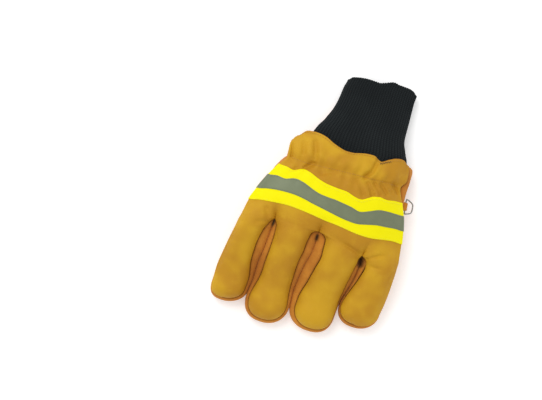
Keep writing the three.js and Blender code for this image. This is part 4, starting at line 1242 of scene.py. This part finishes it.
def add_thumb():
    points, up = thumb_points()
    seam = np.abs(up) * THUMB_DEPTH / 2
    sheet = join([{"points": points[:, ::-1], "seam": seam[:, ::-1] + 0.15}])
    turned_in = tuck(sheet["marks"]["seam"], 0.8, 1.2)[:, None]
    sheet["points"] = sheet["points"] + normals_of(sheet) * turned_in
    add_piece("suede_thumb", sheet, FINISHES["suede"], ["thumb"])


# Knit cuff

RIBS = 66
RIB_COLUMNS = 8
CUFF_ROWS = 88
CUFF_POWER = 2.6
COURSE = 1.9
SLANT_START = 0.25
RIB_END = 0.7
RIB_END_START = 0.985
KNIT_WAVE = 0.5
WAVE_FADE = (0.25, 0.6)
INNER_ROWS = 14
EDGE_SHARE = 1.006
EDGE_OUT = 0.4


def cuff_seat(y):
    return (LEATHER + GAP + RIB_DEPTH) * (1 - smooth(y, HAND_LENGTH, TUCK_START + 0.9 * CUFF_LENGTH))


def cuff_section(share):
    """Centre, half width and depth of the cuff at a share of its length."""
    sizes = (("centre", GLOVE_WIDTH), ("half", CUFF_WIDTH), ("depth", CUFF_DEPTH))
    return [size * section(CUFF_SECTIONS, name, share) for name, size in sizes]


def even_ring(half, deep, count):
    """Evenly spaced points round a flattened section, with their outward directions."""
    turn = 2 * math.pi * np.linspace(0, 1, 1441)
    out, up = boxy_turn(turn, 2 / CUFF_POWER)
    x = half * out
    z = deep * up
    length = np.concatenate([[0], np.cumsum(np.hypot(np.diff(x), np.diff(z)))])
    at = np.linspace(0, length[-1], count + 1)
    px = np.interp(at, length, x)
    pz = np.interp(at, length, z)
    tx = np.roll(px[:-1], -1) - np.roll(px[:-1], 1)
    tz = np.roll(pz[:-1], -1) - np.roll(pz[:-1], 1)
    size = np.hypot(tx, tz)
    nx = tz / size
    nz = -tx / size
    return px, pz, np.append(nx, nx[0]), np.append(nz, nz[0])


def cuff_wall(shares, inset, ribbed):
    count = RIBS * RIB_COLUMNS
    rib = np.arange(count + 1) / RIB_COLUMNS
    across = 1 - np.abs(2 * (rib % 1) - 1)
    crest = np.sqrt(np.maximum(0, 1 - across ** 2))
    rows = []
    for share in shares:
        centre, half, depth = cuff_section(share)
        half = half - inset
        px, pz, nx, nz = even_ring(half, depth / 2 - inset, count)
        off = RIB_DEPTH * crest if ribbed else 0 * crest
        x = centre + px + nx * off
        side = (x - centre) / half
        slant = CUFF_LENGTH * curve(CUFF_END["side"], CUFF_END["out"], side)
        y = TUCK_START + share * CUFF_LENGTH + slant * smooth(share, SLANT_START, 1)
        y = y + RIB_END * (crest - 0.5) * smooth(share, RIB_END_START, 1)
        wave = KNIT_WAVE * np.sin(5 * side + 9 * share) * smooth(share, *WAVE_FADE) * (pz > 0)
        z = depth / 2 + pz + nz * off + wave
        z = np.maximum(z, inset if inset > 0 else REST_FLAT) - REST_FLAT + lift(x, y) + cuff_seat(y)
        rows.append(stack(x, y, z))
    return np.array(rows), np.broadcast_to(across, (len(shares), count + 1))


def add_cuff():
    outer_shares = np.linspace(0, 1, CUFF_ROWS)
    inner_shares = np.linspace(1, 0, INNER_ROWS)
    outer, across = cuff_wall(outer_shares, 0, True)
    turned, _ = cuff_wall([EDGE_SHARE], KNIT * 0.5, False)
    turned[..., 1] += EDGE_OUT
    inner, _ = cuff_wall(inner_shares, KNIT, False)
    points = np.concatenate([outer, turned, inner, outer[:1]])
    points[:, -1] = points[:, 0]
    course = np.concatenate([outer_shares, [1.01], inner_shares, [0]]) * CUFF_LENGTH / COURSE
    across = np.broadcast_to(across[:1], points.shape[:2])
    course = np.broadcast_to(course[:, None], points.shape[:2])
    sheet = join([{"points": points[:, ::-1], "across": across[:, ::-1], "course": course}])
    add_piece("knit_wristlet", sheet, FINISHES["knit"], ["knit_cuff"])


# Pulse patch

PATCH_SIDES = (0.148, 0.475)
PATCH_TAPER = 0.52
PATCH_ROUND = 0.22
PATCH_SAG = 0.7
PATCH_RIM = 0.9
PATCH_START = 0.6
PATCH_TOP = 1.05
PATCH_WRAP = 0.96
PATCH_WORN = 0.4


def patch_points(rows=34, columns=40):
    edge = PALM[0]
    shoulder = len(PALM_SHOULDER) - 1
    bottom = edge[shoulder:-shoulder]
    share = HAND["share"][-1]
    at = np.linspace(*PATCH_SIDES, columns)
    front_x = np.interp(at, share, bottom[:, 0])
    front_y = np.interp(at, share, bottom[:, 1])
    t = np.linspace(0, 1, rows)[:, None]
    u = np.linspace(-1, 1, columns)[None]
    half = 0.5 * (front_x[-1] - front_x[0])
    centre = front_x[0] + half
    x = lerp(front_x[None], centre + half * lerp(1, PATCH_TAPER, t) * u, smooth(t, 0, 0.5))
    top = PATCH_TOP * HAND_LENGTH + PATCH_LENGTH * (1 - PATCH_ROUND * u * u)
    y = lerp(front_y[None] + GAP + PATCH_START, top, t)
    at = (y - TUCK_START) / CUFF_LENGTH
    section_x, section_half, section_depth = cuff_section(at)
    away = np.minimum(PATCH_WRAP, np.abs(x - section_x) / (section_half + RIB_DEPTH))
    rise = 1 - np.power(1 - np.power(away, CUFF_POWER), 1 / CUFF_POWER)
    side = (section_depth / 2 + RIB_DEPTH) * rise - RIB_DEPTH - REST_FLAT
    z = np.maximum(0, side) + cuff_seat(y) + lift(x, y) - GAP - PATCH_SAG * away * away
    return stack(x, y, z)


def patch_piece():
    points = patch_points()
    top = lengths_down(points)
    edge = np.minimum(to_sides(points), top[-1:] - top)
    sheet = join([{"points": points[::-1], "seam": edge[::-1] + PATCH_RIM}])
    worn = bell(sheet["marks"]["seam"] - PATCH_RIM)
    made = shell(sheet, 0.0, -PATCH_THICKNESS + PATCH_WORN * worn, 0.5, 6)
    return points, made


# Stitches: small capsules of thread laid along a path

def capsule(radius, length, sides=6):
    """Points and faces of one stitch along +X, with round ends."""
    stations = ((-0.5, 0.0), (-0.44, 0.6), (-0.25, 0.95), (0.0, 1.0), (0.25, 0.95), (0.44, 0.6), (0.5, 0.0))
    points = []
    for along, wide in stations:
        for n in range(sides):
            turn = 2 * math.pi * n / sides
            points.append((along * length, wide * radius * math.cos(turn), wide * radius * math.sin(turn)))
    faces = []
    for row in range(len(stations) - 1):
        for n in range(sides):
            a = row * sides + n
            b = row * sides + (n + 1) % sides
            faces.append((a, a + sides, b + sides, b))
    points = np.array(points)
    points[:sides, 1:] = 0
    points[-sides:, 1:] = 0
    return points, np.array(faces)


def read_along(points, gone, at):
    """Places at the distances at along a line whose points lie at the distances gone."""
    return np.stack([np.interp(at, gone, points[:, c]) for c in range(3)], axis=1)


def stitch_run(path, normals, pitch=3.2, length=2.5, radius=0.33, slant=0.0):
    """Stitches spaced evenly along a path that lies on a surface with the given normals."""
    gone = lengths_along(path)
    count = int(gone[-1] / pitch)
    at = (np.arange(count) + 0.5) * gone[-1] / count
    centre = read_along(path, gone, at)
    up = unit(read_along(normals, gone, at))
    reach = 0.4 * length
    along = unit(read_along(path, gone, at + reach) - read_along(path, gone, at - reach))
    side = np.cross(up, along)
    sign = np.where(np.arange(count) % 2 == 0, 1, -1)[:, None]
    along = along * math.cos(slant) + side * math.sin(slant) * sign
    side = np.cross(up, along)
    template, faces = capsule(radius, length)
    points = centre[:, None]
    for c, way in enumerate((along, side, up)):
        points = points + template[None, :, c:c + 1] * way[:, None]
    every = faces[None] + (np.arange(count) * len(template))[:, None, None]
    return points.reshape(-1, 3), every.reshape(-1, 4)


def add_stitches(name, runs, finish):
    points = []
    faces = []
    total = 0
    for run_points, run_faces in runs:
        points.append(run_points)
        faces.append(run_faces + total)
        total += len(run_points)
    made = {"points": np.concatenate(points), "faces": np.concatenate(faces)}
    add_piece(name, made, FINISHES[finish])


def band_run(row, height, **sizes):
    normals = grid_normals(HAND["points"])[row, 6:-6]
    path = HAND["points"][row, 6:-6] + normals * height
    return stitch_run(path, normals, **sizes)


ZIGZAG = {"x": (0.243, 0.258, 0.274, 0.290, 0.306), "y": (0.946, 0.962, 0.980, 0.996, 1.006)}


def zigzag_run():
    """A short bar of slanted stitches on the leather, close to the wrist."""
    at = np.linspace(0, len(ZIGZAG["x"]) - 1, 24)
    x = GLOVE_WIDTH * through(ZIGZAG["x"], at)
    y = HAND_LENGTH * through(ZIGZAG["y"], at)
    spread = np.hypot(HAND["points"][..., 0] - x[:, None, None], HAND["points"][..., 1] - y[:, None, None])
    weight = bell(spread)[..., None]
    total = weight.sum(axis=(1, 2))
    path = (weight * HAND["points"]).sum(axis=(1, 2)) / total
    normals = (weight * grid_normals(HAND["points"])).sum(axis=(1, 2)) / total
    return stitch_run(path + normals * 0.15, normals, pitch=1.3, length=2.6, radius=0.26, slant=1.05)


def patch_border(grid):
    """The line of the patch's stitches on a grid, along its two sides and its end."""
    return np.concatenate([grid[:-2, 2], grid[-3, 2:-2], grid[-3::-1, -3]])


def add_all_stitches():
    low = line_row("tape_bottom")
    strip_low = line_row("strip_bottom")
    strip_high = line_row("strip_top")
    high = line_row("tape_top")
    add_stitches("tape_stitches", [
        band_run(low + 1, TAPE + 0.05), band_run(high - 2, TAPE + 0.05),
    ], "yellow_thread")
    add_stitches("strip_stitches", [
        band_run(strip_low + 1, TAPE + STRIP + 0.1), band_run(strip_high - 1, TAPE + STRIP + 0.1),
    ], "grey_thread")
    elastic = line_row("elastic")
    wrist = line_row("wrist")
    add_stitches("wrist_stitches", [
        band_run(elastic + 1, 0.05, pitch=3.0, length=2.3, radius=0.3),
        band_run(wrist - 4, 0.05, pitch=3.0, length=2.3, radius=0.3),
    ], "tan_thread")
    add_stitches("zigzag_stitches", [zigzag_run()], "brown_thread")
    columns = slice(12, -12)
    normals = -grid_normals(PALM[::-1])[::-1]
    runs = []
    for row in (3, 6):
        path = PALM[row, columns] + normals[row, columns] * 0.1
        runs.append(stitch_run(path, normals[row, columns]))
    patch, made = patch_piece()
    outward = patch_border(-grid_normals(patch))
    runs.append(stitch_run(patch_border(patch) + outward * PATCH_THICKNESS, outward))
    add_stitches("palm_stitches", runs, "tan_thread")
    add_piece("suede_pulse_patch", made, FINISHES["suede"], ["pulse_patch"])


# Hanging ring and its loop

def palm_side(y):
    """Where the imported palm's outer side lies between the lines of the hand."""
    return GLOVE_WIDTH * np.interp(y, SIDE_LINE["y"], SIDE_LINE["x"])


def ring_place():
    low_y = SIDE_LINE["y"][1] - TAB_WIDTH / 2
    high_y = SIDE_LINE["y"][1] + TAB_WIDTH / 2
    low_x = palm_side(low_y)
    high_x = palm_side(high_y)
    x = (low_x + high_x) / 2
    y = (low_y + high_y) / 2
    turn = math.atan2(high_x - low_x, high_y - low_y)
    return np.array([x + 2 * GAP, y, BELLY_HEIGHT + float(lift(x, y))]), -turn


def placed(points, place, turn):
    x = points[..., 0] * math.cos(turn) - points[..., 1] * math.sin(turn)
    y = points[..., 0] * math.sin(turn) + points[..., 1] * math.cos(turn)
    return stack(x + place[0], y + place[1], points[..., 2] + place[2])


SIDE_LINE = {"x": (0.474, 0.456, 0.454), "y": (47.5, 59.5, 74.2)}
LOOP_HOLE = RING_WIRE / 2 + GAP
LOOP_OUTER = LOOP_HOLE + TAB_LEATHER
RING_STEPS = 72
RING_SIDES = 14
TAB_START = -1.0
TAB_TAPER = 0.12
TAB_TRIM = 0.05


def add_ring(place, turn):
    corners = np.stack([LOOP_OUTER + np.array(RING_CORNERS["out"]) * RING_REACH,
                        np.array(RING_CORNERS["along"]) * RING_HEIGHT / 2], axis=1)
    count = len(corners)
    around = np.concatenate([corners[-2:], corners, corners[:3]])
    at = np.linspace(0, count, RING_STEPS, endpoint=False)
    line = np.stack([through(around[:, c], at + 2) for c in (0, 1)], axis=1)
    ahead = np.roll(line, -1, axis=0) - np.roll(line, 1, axis=0)
    ahead = unit(ahead)
    turns = 2 * math.pi * np.arange(RING_SIDES + 1) / RING_SIDES
    out = RING_WIRE / 2 * np.cos(turns)[None]
    x = line[:, :1] + ahead[:, 1:] * out
    y = line[:, 1:] - ahead[:, :1] * out
    z = np.broadcast_to(RING_WIRE / 2 * np.sin(turns)[None], x.shape)
    points = placed(stack(x, y, z), place, turn)
    points = np.concatenate([points, points[:1]])
    points[:, -1] = points[:, 0]
    sheet = join([{"points": points}])
    add_piece("bent_ring", sheet, FINISHES["steel"], ["steel_ring"])


def add_tab(place, turn):
    """A strip of suede that goes round the ring's bar and back to the hand."""
    steps = 20
    arc = np.linspace(-math.pi / 2, math.pi / 2, steps)
    mid = (LOOP_HOLE + LOOP_OUTER) / 2
    bend = np.stack([LOOP_OUTER + mid * np.cos(arc), mid * np.sin(arc)], axis=1)
    straight = np.linspace(0, 1, 6)[:-1, None]
    start = np.array([[TAB_START, -mid]])
    end = np.array([[TAB_START, mid]])
    path = np.concatenate([lerp(start, bend[:1], straight), bend, lerp(end, bend[-1:], straight)[::-1]])
    width = np.linspace(-0.5, 0.5, 14)
    taper = 1 - TAB_TAPER * smooth(path[:, 0], 0, LOOP_OUTER + mid)
    y = TAB_WIDTH * width[None] * taper[:, None]
    points = stack(path[:, :1] + 0 * y, y, path[:, 1:] + 0 * y)
    points = placed(points, place, turn)
    edge = TAB_WIDTH * (0.5 - np.abs(width))[None] + 0 * y
    sheet = join([{"points": points, "seam": edge + 0.8}])
    made = shell(sheet, TAB_LEATHER / 2 - TAB_TRIM, -TAB_LEATHER / 2 + TAB_TRIM, 0.3, 4)
    add_piece("suede_ring_loop", made, FINISHES["suede"], ["ring_tab"])


for finger_number in range(len(FINGERS)):
    add_finger_front(finger_number)
add_back()
add_bands()
add_palm()
add_thumb()
add_cuff()
add_all_stitches()
RING_PLACE, RING_TURN = ring_place()
add_ring(RING_PLACE, RING_TURN)
add_tab(RING_PLACE, RING_TURN)
